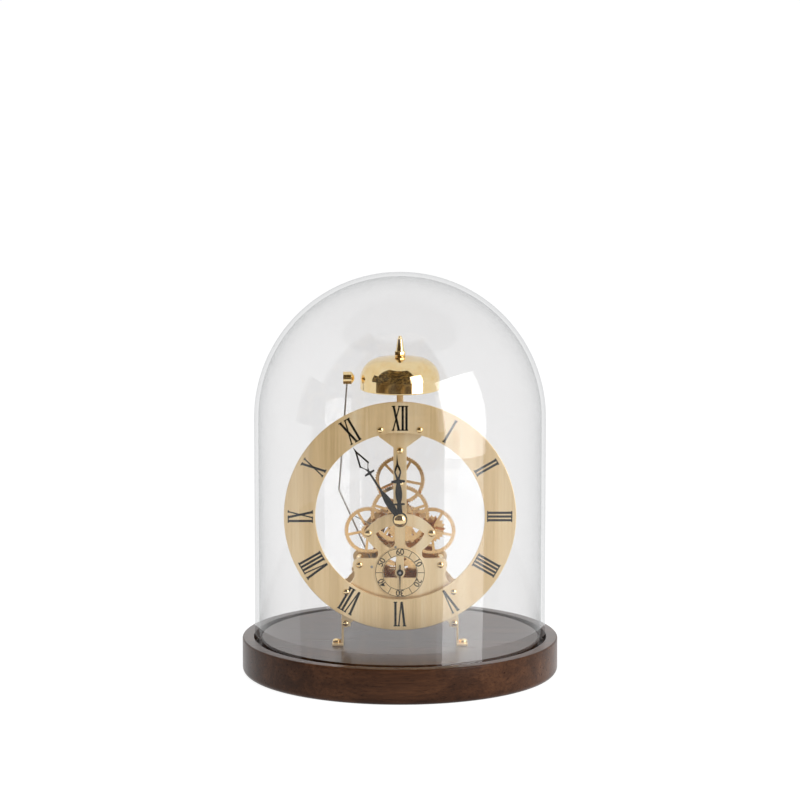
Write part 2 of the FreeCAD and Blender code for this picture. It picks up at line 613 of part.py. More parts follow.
def make_legs():
    foot_screws = []
    top = "(dial_height - lug_drop + lug_radius)"
    for label, side in (("leg_left", -1), ("leg_right", 1)):
        web = doc.addObject("Part::Box", label + "_web")
        arch = doc.addObject("Part::Box", label + "_arch")
        tab = doc.addObject("Part::Box", label + "_tab")
        flanges = [doc.addObject("Part::Box", label + "_flange_%d" % n) for n in (1, 2)]
        web_x = "leg_side - leg_thick" if side > 0 else "-leg_side"
        tab_x = "leg_side - leg_thick" if side > 0 else "-leg_side - leg_tab"
        flange_x = "leg_side - leg_flange - leg_thick" if side > 0 else "-leg_side"
        boxes = (
            (web, web_x, INNER, "base_height", "leg_thick", "plate_gap", top + " - base_height"),
            (arch, web_x + " - overrun", depth("leg_foot_depth"), "base_height - overrun",
             "leg_thick + 2 * overrun", "plate_gap - leg_foot_share * leg_foot_depth", "leg_arch_drop + overrun"),
            (tab, tab_x, "-plate_front", "base_height", "leg_tab + leg_thick", "leg_foot_depth", "leg_thick"),
            (flanges[0], flange_x, INNER, top + " - 2 * lug_radius", "leg_flange + leg_thick", "leg_thick",
             "2 * lug_radius"),
            (flanges[1], flange_x, depth("plate_gap - leg_thick"), top + " - 2 * lug_radius",
             "leg_flange + leg_thick", "leg_thick", "2 * lug_radius"),
        )
        for box, x, y, z, length, width, height in boxes:
            place(box, x, y, z)
            box.setExpression("Length", bound(length))
            box.setExpression("Width", bound(width))
            box.setExpression("Height", bound(height))
        body = doc.addObject("Part::MultiFuse", label + "_sheet")
        body.Shapes = [web, tab] + flanges
        cut = doc.addObject("Part::Cut", label)
        cut.Base = body
        cut.Tool = arch
        keep(cut, label)
        foot = turned(label + "_foot_screw", [
            ("0", "0"), ("foot_screw_radius", "0"), ("foot_screw_radius", "foot_screw_side_share * foot_screw_height"),
            ("foot_screw_face_share * foot_screw_radius", "foot_screw_height"), ("0", "foot_screw_height")], upright=True)
        place(foot, "%d * (leg_side + 0.5 * leg_tab)" % side, "0.5 * leg_foot_depth - plate_front",
              "base_height + leg_thick")
        foot_screws.append(foot)
    group("foot_screws", foot_screws)


# Bell on its stand, struck from the left

SHOULDER_ANGLES = (22.5, 45, 67.5)


def bell_side(radius, height):
    """The bell's profile from its rim to the edge of its crown, on one of its two surfaces."""
    turn_x, turn_z = "(%s - bell_shoulder)" % radius, "(%s - bell_crown_drop - bell_shoulder)" % height
    points = [(radius, "0"), (radius, turn_z)]
    for angle in SHOULDER_ANGLES:
        points.append(("%s + bell_shoulder * cos(%s)" % (turn_x, angle),
                       "%s + bell_shoulder * sin(%s)" % (turn_z, angle)))
    points += [(turn_x, "(%s - bell_crown_drop)" % height), ("bell_crown_radius", height)]
    return points


def make_bell():
    outside = bell_side("bell_radius", "bell_height")
    inside = bell_side("(bell_radius - bell_wall)", "(bell_height - bell_wall)")
    corners = outside + [("bell_hole_radius", "bell_height"),
                         ("bell_hole_radius", "bell_height - bell_wall")] + inside[::-1]
    bell = keep(turned("bell", corners, upright=True), "bell")
    place(bell, "0", depth("bell_depth"), "dial_height + bell_drop_to_rim")


def make_bell_stand():
    arm_top = "(stand_arm_height + stand_thick)"
    crown_under = "(bell_drop_to_rim + bell_height - bell_wall)"
    strap = doc.addObject("Part::Box", "stand_strap")
    arm = doc.addObject("Part::Box", "stand_arm")
    boxes = (
        (strap, depth("plate_gap - stand_thick"), "stand_foot", "stand_thick", arm_top + " - stand_foot"),
        (arm, depth("bell_depth - 0.5 * stand_width"), "stand_arm_height",
         "plate_gap - bell_depth + 0.5 * stand_width", "stand_thick"),
    )
    for box, y, z, width, height in boxes:
        place(box, "-0.5 * stand_width", y, "dial_height + " + z)
        box.setExpression("Length", bound("stand_width"))
        box.setExpression("Width", bound(width))
        box.setExpression("Height", bound(height))
    collar = "(%s - %s)" % (crown_under, arm_top)
    stud = turned("stand_stud", [
        ("0", "0"), ("stud_radius + bell_wall", "0"), ("stud_radius + bell_wall", collar),
        ("stud_radius", collar), ("stud_radius", collar + " + bell_wall"), ("0", collar + " + bell_wall"),
    ], upright=True)
    place(stud, "0", depth("bell_depth"), "dial_height + " + arm_top)
    stand = doc.addObject("Part::MultiFuse", "bell_stand")
    stand.Shapes = [strap, arm, stud]
    keep(stand, "bell_stand")


def make_finial():
    flange = "finial_flange"
    neck = "(%s + finial_neck)" % flange
    nut = "(%s + finial_nut)" % neck
    tip = "(%s + finial_cone)" % nut
    corners = [
        ("0", "0"), ("finial_flange_radius", "0"), ("finial_flange_radius", flange),
        ("finial_neck_radius", flange), ("finial_neck_radius", neck), ("finial_nut_radius", neck),
        ("finial_nut_radius", nut), ("finial_cone_base", nut), ("finial_cone_tip", tip),
        ("0", tip),
    ]
    finial = keep(turned("bell_finial", corners, upright=True), "bell_finial")
    place(finial, "0", depth("bell_depth"), "dial_height + bell_drop_to_rim + bell_height")


# Wheels, arbors and pinions

CAM_STEPS = 12
CAM_DROP_ANGLE = 200
SPOKE_ANGLES = {"centre": 18, "top": 61, "left": 48, "right": 60, "third": 20, "seconds": 10}


def make_centre_wheel():
    """The minute arbor: cannon pinion, centre wheel, drive wheel for the right side and strike cam."""
    front, back = -size("minute_hand_depth"), size("plate_gap + plate_thick")
    arbor = size("centre_arbor_radius")
    plate = size("plate_gap - end_shake")
    cannon, _ = pair(CENTRE, MOTION, "cannon_teeth", "minute_teeth")
    drive, _ = pair(CENTRE, RIGHT, "centre_drive_teeth", "right_teeth")
    wheel_at, drive_at = size("centre_wheel_depth"), size("right_wheel_depth")
    overhang = size("0.5 * (pinion_thick - wheel_thick)")
    low, high, thick = size("cam_low_radius"), size("cam_radius"), size("cam_thick")
    cam = [polar(low + (high - low) * i / CAM_STEPS, CAM_DROP_ANGLE - i * 360 / CAM_STEPS)
           for i in range(CAM_STEPS + 1)]
    solids = [
        rod(arbor, front, plate), rod(size("arbor_radius"), plate, back),
        spur(cannon, size("cannon_teeth"), PHASE["cannon"], size("minute_wheel_depth"), size("wheel_thick")),
        spoked(size("centre_wheel_radius"), size("centre_teeth"), PHASE["centre"], wheel_at,
               size("wheel_thick"), SPOKE_ANGLES["centre"]),
        spur(drive, size("centre_drive_teeth"), PHASE["drive"], drive_at - overhang, size("pinion_thick")),
        prism(cam[::-1], thick).translated(VECTOR(0, size("cam_depth"), 0)),
    ]
    toothed_part("centre_wheel", CENTRE, solids)


def make_hour_wheel():
    pinion, wheel = pair(MOTION, CENTRE, "minute_pinion_teeth", "hour_teeth")
    start, thick = size("hour_wheel_depth"), size("wheel_thick")
    front = -size("hour_hand_depth + 0.5 * hand_thick")
    gear = spur(wheel, size("hour_teeth"), PHASE["hour"], start, thick)
    pipe = rod(size("hour_pipe_radius"), front, start + thick)
    bore = rod(size("centre_arbor_radius + running_clearance"), front - size("overrun"),
               start + thick + size("overrun"))
    toothed_part("hour_wheel", CENTRE, [gear.fuse(pipe).cut(bore)])


def make_minute_wheel():
    _, wheel = pair(CENTRE, MOTION, "cannon_teeth", "minute_teeth")
    pinion, _ = pair(MOTION, CENTRE, "minute_pinion_teeth", "hour_teeth")
    pinion_at, wheel_at = size("hour_wheel_depth"), size("minute_wheel_depth")
    thick = size("wheel_thick")
    solid = spur(pinion, size("minute_pinion_teeth"), PHASE["minute_pinion"], pinion_at,
                 wheel_at - pinion_at)
    solid = solid.fuse(spur(wheel, size("minute_teeth"), PHASE["minute"], wheel_at, thick))
    bore = rod(size("arbor_radius + running_clearance"), pinion_at - thick, wheel_at + 2 * thick)
    toothed_part("minute_wheel", MOTION, [solid.cut(bore)])
    x, z = on_dial(MOTION)
    stud = turned("motion_stud", rod_profile("arbor_radius", "0", "minute_wheel_depth + wheel_thick"))
    keep(place(stud, x, INNER, z), "motion_stud")


def wheel_and_pinion(label, centre, wheel, pinion, front="-plate_thick", back="plate_gap + plate_thick",
                     first_spoke=None):
    """A wheel and a pinion on one arbor. Each is (radius, teeth alias, phase name, depth)."""
    thick, pinion_thick = size("wheel_thick"), size("pinion_thick")
    solids = [rod(size("arbor_radius"), size(front), size(back))]
    radius, teeth, phase, start = wheel
    if first_spoke is None:
        solids.append(spur(radius, size(teeth), PHASE[phase], size(start), thick))
    else:
        solids.append(spoked(radius, size(teeth), PHASE[phase], size(start), thick, first_spoke))
    radius, teeth, phase, start = pinion
    start_at = size(start) - (pinion_thick - thick) / 2
    solids.append(spur(radius, size(teeth), PHASE[phase], start_at, pinion_thick))
    toothed_part(label, centre, solids)


def make_train():
    wheel_and_pinion("top_wheel", TOP,
                     (size("top_wheel_radius"), "top_teeth", "top", "side_wheel_depth"),
                     (pair(CENTRE, TOP, "centre_teeth", "top_pinion_teeth")[1], "top_pinion_teeth",
                      "top_pinion", "centre_wheel_depth"), first_spoke=SPOKE_ANGLES["top"])
    wheel_and_pinion("left_wheel", LEFT,
                     (size("left_wheel_radius"), "left_teeth", "left", "side_wheel_depth"),
                     (pair(CENTRE, LEFT, "centre_teeth", "left_pinion_teeth")[1], "left_pinion_teeth",
                      "left_pinion", "centre_wheel_depth"), first_spoke=SPOKE_ANGLES["left"])
    wheel_and_pinion("right_wheel", RIGHT,
                     (pair(CENTRE, RIGHT, "centre_drive_teeth", "right_teeth")[1], "right_teeth",
                      "right", "right_wheel_depth"),
                     (pair(RIGHT, SECOND, "right_pinion_teeth", "second_teeth")[0], "right_pinion_teeth",
                      "right_pinion", "second_wheel_depth"), first_spoke=SPOKE_ANGLES["right"])
    wheel_and_pinion("third_wheel", THIRD,
                     (pair(THIRD, SECONDS, "third_teeth", "seconds_pinion_teeth")[0], "third_teeth",
                      "third", "third_wheel_depth"),
                     (pair(CENTRE, THIRD, "centre_teeth", "third_pinion_teeth")[1], "third_pinion_teeth",
                      "third_pinion", "centre_wheel_depth"), first_spoke=SPOKE_ANGLES["third"])
    wheel_and_pinion("seconds_wheel", SECONDS,
                     (pair(SECONDS, ESCAPE, "seconds_teeth", "escape_pinion_teeth")[0], "seconds_teeth",
                      "seconds", "seconds_wheel_depth"),
                     (pair(THIRD, SECONDS, "third_teeth", "seconds_pinion_teeth")[1],
                      "seconds_pinion_teeth", "seconds_pinion", "third_wheel_depth"),
                     front="-seconds_hand_depth", first_spoke=SPOKE_ANGLES["seconds"])
    wheel_and_pinion("second_drive_wheel", SECOND,
                     (pair(RIGHT, SECOND, "right_pinion_teeth", "second_teeth")[1], "second_teeth",
                      "second", "second_wheel_depth"),
                     (pair(SECOND, FIRST, "second_pinion_teeth", "first_teeth")[0],
                      "second_pinion_teeth", "second_pinion", "first_wheel_depth"))
    wheel_and_pinion("first_drive_wheel", FIRST,
                     (pair(SECOND, FIRST, "second_pinion_teeth", "first_teeth")[1], "first_teeth",
                      "first", "first_wheel_depth"),
                     (pair(BARREL, FIRST, "great_teeth", "first_pinion_teeth")[1], "first_pinion_teeth",
                      "first_pinion", "great_wheel_depth"))


def saw_teeth(tip, tooth, teeth, lean=0.0):
    """A ratchet-like outline: each tooth rises along a slope and drops back on a radius."""
    pitch = 360 / teeth
    points = []
    for i in range(teeth):
        points.append(polar(tip - tooth, i * pitch))
        points.append(polar(tip, (i + 1 - lean) * pitch))
    return points


ESCAPE_LEAN_SHARE = 0.25


def make_escape_wheel():
    pinion = pair(SECONDS, ESCAPE, "seconds_teeth", "escape_pinion_teeth")[1]
    pinion_thick, thick = size("pinion_thick"), size("escape_thick")
    start = size("seconds_wheel_depth") - (pinion_thick - size("wheel_thick")) / 2
    wheel = saw_teeth(size("escape_wheel_radius"), size("escape_tooth"), int(size("escape_teeth")),
                      ESCAPE_LEAN_SHARE)
    solids = [rod(size("arbor_radius"), -size("plate_thick"), size("bridge_depth + bridge_thick")),
              spur(pinion, size("escape_pinion_teeth"), PHASE["escape_pinion"], start, pinion_thick),
              prism(wheel, thick).translated(VECTOR(0, size("escape_wheel_depth"), 0))]
    toothed_part("escape_wheel", ESCAPE, solids)


# Mainspring barrel, its arbor, ratchet and click

def make_barrel():
    wheel = pair(BARREL, FIRST, "great_teeth", "first_pinion_teeth")[0]
    start, thick = size("great_wheel_depth"), size("great_wheel_thick")
    bore = size("barrel_arbor_radius + running_clearance")
    gear = spur(wheel, size("great_teeth"), PHASE["great"], start, thick)
    toothed_part("great_wheel", BARREL, [gear.cut(rod(bore, 0, size("plate_gap")))])
    x, z = on_dial(BARREL)
    bore_text = "barrel_arbor_radius + running_clearance"
    inner = "(barrel_radius - barrel_wall)"
    drum = turned("barrel", [
        (bore_text, "0"), ("barrel_radius", "0"), ("barrel_radius", "barrel_length"),
        (inner, "barrel_length"), (inner, "barrel_length - 0.5 * barrel_wall"),
        (bore_text, "barrel_length - 0.5 * barrel_wall")])
    keep(place(drum, x, depth("great_wheel_depth + great_wheel_thick"), z), "barrel")


def make_winding_arbor():
    x, z = on_dial(BARREL)
    back = "(plate_gap + plate_thick)"
    arbor = turned("winding_shaft", [
        ("0", "(-plate_thick)"), ("arbor_radius", "(-plate_thick)"), ("arbor_radius", "end_shake"),
        ("barrel_arbor_radius", "end_shake"), ("barrel_arbor_radius", back + " + 2 * click_thick"),
        ("0", back + " + 2 * click_thick")])
    place(arbor, x, INNER, z)
    square = doc.addObject("Part::Box", "winding_square")
    place(square, "-winding_square_half", depth(back + " + 2 * click_thick"),
          "dial_height - barrel_drop - winding_square_half")
    square.setExpression("Length", bound("2 * winding_square_half"))
    square.setExpression("Width", bound("winding_square_length"))
    square.setExpression("Height", bound("2 * winding_square_half"))
    fused = doc.addObject("Part::MultiFuse", "winding_arbor")
    fused.Shapes = [arbor, square]
    keep(fused, "winding_arbor")
    start = size(back + " + end_shake")
    ratchet = prism(saw_teeth(size("ratchet_radius"), size("ratchet_tooth"), int(size("ratchet_teeth"))),
                    size("click_thick")).translated(VECTOR(0, start, 0))
    bore = rod(size("barrel_arbor_radius + seat_clearance"), start - size("overrun"),
               start + size("click_thick + overrun"))
    toothed_part("ratchet_wheel", BARREL, [ratchet.cut(bore)])


def make_click():
    pivot = ("click_side", "click_rise")
    beak = ("click_beak_side", "click_beak_rise")
    click = flat("click", [link(pivot, beak, "click_half_width")], "click_thick",
                 [(pivot, "0.5 * click_half_width + running_clearance")])
    x, z = on_dial(BARREL)
    keep(place(click, x, depth("plate_gap + plate_thick + end_shake"), z), "click")
    screw = turned("click_screw", [
        ("0", "0"), ("0.5 * click_half_width", "0"), ("0.5 * click_half_width", "click_thick + 2 * end_shake"),
        ("click_head_share * click_half_width", "click_thick + 2 * end_shake"),
        ("click_head_share * click_half_width", "click_head_rise_share * click_thick + 2 * end_shake"),
        ("0", "click_head_rise_share * click_thick + 2 * end_shake")])
    keep(place(screw, "click_side", depth("plate_gap + plate_thick"),
               "dial_height - barrel_drop + click_rise"), "click_screw")


# Lever escapement and balance behind the back plate

def make_lever():
    reach_x, reach_y = "(lever_side - escape_side)", "(lever_drop - escape_drop)"
    arms = [
        ("(%s * cos(pallet_angle) - %s * sin(pallet_angle)) * lever_arm_share" % (reach_x, reach_y),
         "(%s * sin(pallet_angle) + %s * cos(pallet_angle)) * lever_arm_share" % (reach_x, reach_y)),
        ("(%s * cos(pallet_angle) + %s * sin(pallet_angle)) * lever_arm_share" % (reach_x, reach_y),
         "(%s * cos(pallet_angle) - %s * sin(pallet_angle)) * lever_arm_share" % (reach_y, reach_x)),
        ("(lever_side - balance_side) * lever_fork_share", "(lever_drop - balance_drop) * lever_fork_share"),
    ]
    body = doc.addObject("PartDesign::Body", "lever_arms")
    for number, end in enumerate(arms):
        sketch = new_sketch(body, "XZ_Plane", "lever_arm_%d" % number)
        draw_loop(sketch, link(("0", "0"), end, "lever_half_width"))
        pad = body.newObject("PartDesign::Pad", "lever_arm_pad_%d" % number)
        pad.Profile = sketch
        pad.setExpression("Length", bound("escape_thick"))
        pad.Reversed = True
    x, z = on_dial(LEVER)
    place(body, x, depth("escape_wheel_depth"), z)
    arbor = turned("lever_arbor", rod_profile("arbor_radius", "plate_gap", "bridge_depth + bridge_thick"))
    place(arbor, x, INNER, z)
    lever = doc.addObject("Part::MultiFuse", "pallet_lever")
    lever.Shapes = [body, arbor]
    keep(lever, "pallet_lever")


def make_balance():
    x, z = on_dial(BALANCE)
    rim = turned("balance_rim_ring", [
        ("balance_radius - balance_rim", "0"), ("balance_radius", "0"), ("balance_radius", "balance_thick"),
        ("balance_radius - balance_rim", "balance_thick")])
    place(rim, x, depth("balance_depth"), z)
    end = "(balance_radius - 0.5 * balance_rim - balance_arm_half)"
    arm = flat("balance_arm", [link(("(-%s)" % end, "0"), (end, "0"), "balance_arm_half")],
               "0.5 * balance_thick")
    place(arm, x, depth("balance_depth"), z)
    staff = turned("balance_staff", rod_profile("arbor_radius", "plate_gap", "bridge_depth + bridge_thick"))
    place(staff, x, INNER, z)
    balance = doc.addObject("Part::MultiFuse", "balance_wheel")
    balance.Shapes = [rim, arm, staff]
    keep(balance, "balance_wheel")


BRIDGE_FEET = [("bridge_right", "(-bridge_right_drop)"), ("(-bridge_left)", "(-bridge_left_drop)")]


def make_bridge():
    pivots = "arbor_radius + running_clearance"
    bridge = flat("bridge_plate", [belt(BRIDGE_FEET + [BALANCE], "bridge_edge")],
                  "bridge_thick", [(ESCAPE, pivots), (LEVER, pivots), (BALANCE, pivots)])
    keep(place(bridge, "0", depth("bridge_depth"), "dial_height"), "escapement_bridge")
    pillars = []
    for number, centre in enumerate(BRIDGE_FEET):
        x, z = on_dial(centre)
        pillar = turned("bridge_pillar_%d" % number,
                        rod_profile("bridge_pillar_radius", "0", "bridge_depth - plate_gap - plate_thick"))
        pillars.append(place(pillar, x, depth("plate_gap + plate_thick"), z))
    group("bridge_pillars", pillars)


# Bell hammer

def wire_part(label, points, radius, bend=None):
    """A round wire along straight runs in the XZ plane, with one bend radius at its corners."""
    edges, start = [], points[0]
    for i in range(1, len(points) - 1):
        before = (points[i - 1] - points[i]).normalize()
        after = (points[i + 1] - points[i]).normalize()
        half = before.getAngle(after) / 2
        cut = bend / math.tan(half)
        first, last = points[i] + before * cut, points[i] + after * cut
        middle_line = (before + after).normalize()
        middle = points[i] + middle_line * (bend / math.sin(half) - bend)
        edges += [Part.LineSegment(start, first).toShape(), Part.Arc(first, middle, last).toShape()]
        start = last
    edges.append(Part.LineSegment(start, points[-1]).toShape())
    path = Part.Wire(edges)
    section = Part.Wire([Part.makeCircle(radius, points[0], points[1] - points[0])])
    feature = doc.addObject("Part::Feature", label)
    feature.Shape = path.makePipeShell([section], True, False)
    return keep(place(feature, "0", "0", "dial_height"), label)


def at_depth(x, height, deep):
    return VECTOR(size(x), size(depth(deep)), size(height))


def make_hammer():
    x, z = on_dial(HAMMER)
    arbor = turned("hammer_shaft", rod_profile("arbor_radius", "(-plate_thick)", "plate_gap + plate_thick"))
    place(arbor, x, INNER, z)
    hub = turned("hammer_hub", rod_profile("hammer_hub_radius", "0", "2 * hammer_hub_radius"))
    place(hub, x, depth("hammer_depth - hammer_hub_radius"), z)
    tail = flat("hammer_tail", [link(("0", "0"), ("hammer_tail_side", "hammer_tail_rise"),
                                     "hammer_tail_half_width")], "cam_thick")
    place(tail, x, depth("cam_depth"), z)
    fused = doc.addObject("Part::MultiFuse", "hammer_arbor")
    fused.Shapes = [arbor, hub, tail]
    keep(fused, "hammer_arbor")

    pivot = at_depth(HAMMER[0], HAMMER[1], "hammer_depth")
    bend = at_depth("-hammer_bend_side", "hammer_bend_height", "hammer_depth")
    head = at_depth("-hammer_head_side", "hammer_head_height", "hammer_depth")
    along, rise = (bend - pivot).normalize(), (head - bend).normalize()
    start = pivot + along * size("hammer_hub_radius + seat_clearance")
    end = head - rise * size("hammer_head_radius + seat_clearance")
    wire_part("hammer_wire", [start, bend, end], size("hammer_wire_radius"), size("hammer_bend_radius"))

    y = depth("hammer_depth")
    head_start = "-hammer_head_side - 0.5 * hammer_head_length"
    drum = doc.addObject("Part::Cylinder", "hammer_drum")
    cone = doc.addObject("Part::Cone", "hammer_cone")
    for thing, side, length in ((drum, head_start, "hammer_head_length"),
                                (cone, head_start + " + hammer_head_length", "hammer_head_cone")):
        thing.Placement = FreeCAD.Placement(
            VECTOR(size(side), size(y), size("dial_height + hammer_head_height")),
            FreeCAD.Rotation(VECTOR(0, 1, 0), 90))
        thing.setExpression("Placement.Base.x", bound(side))
        thing.setExpression("Placement.Base.y", bound(y))
        thing.setExpression("Placement.Base.z", bound("dial_height + hammer_head_height"))
        thing.setExpression("Height", bound(length))
    drum.setExpression("Radius", bound("hammer_head_radius"))
    cone.setExpression("Radius1", bound("hammer_head_radius"))
    cone.setExpression("Radius2", bound("hammer_nose_share * hammer_head_radius"))
    hammer_head = doc.addObject("Part::Fuse", "hammer_head")
    hammer_head.Base, hammer_head.Tool = drum, cone
    keep(hammer_head, "hammer_head")


def make_hammer_spring():
    """A wire that stands the hammer off the bell, on a post in the back plate."""
    x, z = on_dial(("(-spring_side)", "(-spring_drop)"))
    post = turned("spring_post", rod_profile("spring_post_radius", "0", "plate_gap - spring_depth"))
    keep(place(post, x, depth("spring_depth"), z), "spring_post")
    foot = at_depth("-spring_side", "-spring_drop", "spring_depth + spring_post_radius")
    reach = at_depth("-spring_reach", "-spring_reach_drop", "spring_depth + spring_post_radius")
    foot = foot + (reach - foot).normalize() * size("spring_post_radius + seat_clearance")
    wire_part("hammer_spring", [foot, reach], size("spring_wire_radius"))


# Hands: outlines in shares of each hand's length, pointing at twelve before they are turned

MINUTE_HAND_SHARES = [
    (0.030, 0.085, 0.66), (0.012, 0.403), (0.011, 0.630), (0.062, 0.636), (0.062, 0.654),
    (0.012, 0.660, 0.12, -1), (0.064, 0.757), (0.012, 0.930), (0.0, 1.0),
]
MINUTE_WINDOW_SHARES = [(0.0, 0.690), (0.043, 0.757), (0.0, 0.905), (-0.043, 0.757)]
HOUR_HAND_SHARES = [
    (0.040, 0.118), (0.036, 0.212), (0.083, 0.218), (0.083, 0.238), (0.026, 0.246, 0.45),
    (0.024, 0.545), (0.104, 0.560), (0.104, 0.588), (0.024, 0.602), (0.054, 0.715, 0.40),
    (0.015, 0.835), (0.0, 1.0),
]
HOUR_WINDOW_SHARES = [(0.0, 0.635), (0.030, 0.715), (0.0, 0.795), (-0.030, 0.715)]
SECONDS_HAND_SHARES = [(0.026, 0.11), (0.0, 1.0)]


def hand_outline(shares, length, boss, tail):
    """The whole outline from the right half: the boss's arc, up one side to the tip and back, then the tail."""
    right = []
    for corner in shares:
        point = ("%s * %s" % (corner[0], length) if corner[0] else "0", "%s * %s" % (corner[1], length))
        turn = corner[3] if len(corner) > 3 else 1
        right.append(point + (("%s * %s" % (corner[2], length), turn) if len(corner) > 2 else ()))
    first_x = "(%s * %s)" % (shares[0][0], length)
    seat = ("%s" % first_x, "sqrt(%s ^ 2 - %s ^ 2)" % (boss, first_x))
    side = [("%s" % boss, "0", boss, 1), seat] + right
    left = mirrored_half(side)
    left = left[1:] if shares[-1][0] == 0.0 else left
    left[-1] = left[-1] + (boss, 1)
    if tail is None:
        return side + left + [("0", "(-%s)" % boss, boss, 1)]
    half, reach = tail
    seat = "(-sqrt(%s ^ 2 - %s ^ 2))" % (boss, half)
    low = [("(-%s)" % half, seat), ("(-%s)" % half, "(-%s)" % reach), (half, "(-%s)" % reach),
           (half, seat, boss, 1)]
    return side + left + low


def window_outline(shares, length):
    return [("%s * %s" % (x, length) if x else "0", "%s * %s" % (y, length)) for x, y in shares]


def make_hand(label, shares, windows, length, boss, bore, front, turn, centre, tail=None):
    loops = [hand_outline(shares, length, boss, tail)] + [window_outline(w, length) for w in windows]
    hand = flat(label, loops, "hand_thick", [(CENTRE, bore)])
    x, z = on_dial(centre)
    keep(place(hand, x, depth("-" + front), z, turn), label)


def make_hands():
    make_hand("minute_hand", MINUTE_HAND_SHARES, [MINUTE_WINDOW_SHARES], "minute_hand_length",
              "hand_boss_radius", "centre_arbor_radius + seat_clearance", "minute_hand_depth",
              "minute_angle", CENTRE)
    make_hand("hour_hand", HOUR_HAND_SHARES, [HOUR_WINDOW_SHARES], "hour_hand_length",
              "hand_boss_radius", "hour_pipe_radius + seat_clearance", "hour_hand_depth",
              "hour_angle", CENTRE)
    make_hand("seconds_hand", SECONDS_HAND_SHARES, [], "seconds_hand_length",
              "seconds_boss_radius", "arbor_radius + seat_clearance", "seconds_hand_depth",
              "seconds_angle", SECONDS, ("seconds_tail_half", "seconds_tail"))
    nut = turned("hand_nut", [
        ("0", "0"),
        ("hand_nut_face_share * hand_nut_radius", "hand_nut_face_rise_share * hand_nut_height"),
        ("hand_nut_crown_share * hand_nut_radius", "hand_nut_crown_rise_share * hand_nut_height"),
        ("hand_nut_radius", "hand_nut_height"),
        ("0", "hand_nut_height")])
    keep(place(nut, "0", depth("-minute_hand_depth - hand_nut_height"), "dial_height"), "hand_nut")


def tooth_phases():
    """Tip angles that put every pair in mesh at rest, worked outwards from the centre wheel."""
    phase = {"centre": 0.0, "cannon": 0.0, "drive": 0.0, "top": 0.0, "left": 0.0}

    def mesh(name, centre, teeth, follower_name, follower_centre, follower_teeth):
        phase[follower_name] = meshed_phase(phase[name], size(teeth), direction_of(centre, follower_centre),
                                            size(follower_teeth))

    mesh("centre", CENTRE, "centre_teeth", "top_pinion", TOP, "top_pinion_teeth")
    mesh("centre", CENTRE, "centre_teeth", "left_pinion", LEFT, "left_pinion_teeth")
    mesh("centre", CENTRE, "centre_teeth", "third_pinion", THIRD, "third_pinion_teeth")
    mesh("drive", CENTRE, "centre_drive_teeth", "right", RIGHT, "right_teeth")
    mesh("cannon", CENTRE, "cannon_teeth", "minute", MOTION, "minute_teeth")
    phase.update({"minute_pinion": 0.0, "third": 0.0, "seconds": 0.0, "right_pinion": 0.0,
                  "second_pinion": 0.0, "first_pinion": 0.0})
    mesh("minute_pinion", MOTION, "minute_pinion_teeth", "hour", CENTRE, "hour_teeth")
    mesh("third", THIRD, "third_teeth", "seconds_pinion", SECONDS, "seconds_pinion_teeth")
    mesh("seconds", SECONDS, "seconds_teeth", "escape_pinion", ESCAPE, "escape_pinion_teeth")
    mesh("right_pinion", RIGHT, "right_pinion_teeth", "second", SECOND, "second_teeth")
    mesh("second_pinion", SECOND, "second_pinion_teeth", "first", FIRST, "first_teeth")
    mesh("first_pinion", FIRST, "first_pinion_teeth", "great", BARREL, "great_teeth")
    return phase


PHASE = tooth_phases()

make_base()
make_dome()
make_plates()
make_pillars()
make_ring()
make_seconds_dial()
make_caps()
make_legs()
make_bell()
make_bell_stand()
make_finial()
make_centre_wheel()
make_hour_wheel()
make_minute_wheel()
make_train()
make_escape_wheel()
make_barrel()
make_winding_arbor()
make_click()
make_lever()
make_balance()
make_bridge()
make_hammer()
make_hammer_spring()
make_hands()

doc.recompute()
for thing in doc.Objects:
    if "Invalid" in thing.State or "Error" in thing.State:
        raise RuntimeError("%s failed: %s" % (thing.Label, thing.State))
for part in PARTS:
    if part.Shape.isNull() or not part.Shape.isValid():
        raise RuntimeError("%s has no valid shape" % part.Label)
os.makedirs("parts", exist_ok=True)
for part in PARTS:
    part.Shape.exportStep("parts/%s.step" % part.Label)
    print("%-20s %d solids, %.1f cubic mm" % (part.Label, len(part.Shape.Solids), part.Shape.Volume))
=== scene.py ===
"""Looks of a glass-domed brass skeleton table clock with a bell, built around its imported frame."""
import json
import math

import bmesh
import bpy
from mathutils import Matrix, Vector

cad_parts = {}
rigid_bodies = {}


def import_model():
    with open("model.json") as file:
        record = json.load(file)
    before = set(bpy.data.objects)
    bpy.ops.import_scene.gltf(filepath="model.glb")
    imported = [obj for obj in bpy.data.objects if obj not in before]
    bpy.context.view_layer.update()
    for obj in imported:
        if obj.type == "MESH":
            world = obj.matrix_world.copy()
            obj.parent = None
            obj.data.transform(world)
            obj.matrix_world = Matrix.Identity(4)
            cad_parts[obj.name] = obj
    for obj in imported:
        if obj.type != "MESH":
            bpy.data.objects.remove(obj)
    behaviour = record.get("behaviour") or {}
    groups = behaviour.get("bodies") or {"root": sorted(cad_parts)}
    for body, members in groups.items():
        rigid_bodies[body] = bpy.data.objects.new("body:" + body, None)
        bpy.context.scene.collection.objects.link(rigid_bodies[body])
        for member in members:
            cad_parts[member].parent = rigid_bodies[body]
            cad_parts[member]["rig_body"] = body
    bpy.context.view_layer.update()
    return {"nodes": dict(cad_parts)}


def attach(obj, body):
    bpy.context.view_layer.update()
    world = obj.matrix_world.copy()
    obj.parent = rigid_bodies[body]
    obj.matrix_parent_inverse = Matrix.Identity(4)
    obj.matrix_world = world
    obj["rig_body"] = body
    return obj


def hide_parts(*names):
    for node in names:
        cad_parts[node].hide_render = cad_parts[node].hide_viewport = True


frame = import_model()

MM = 0.001

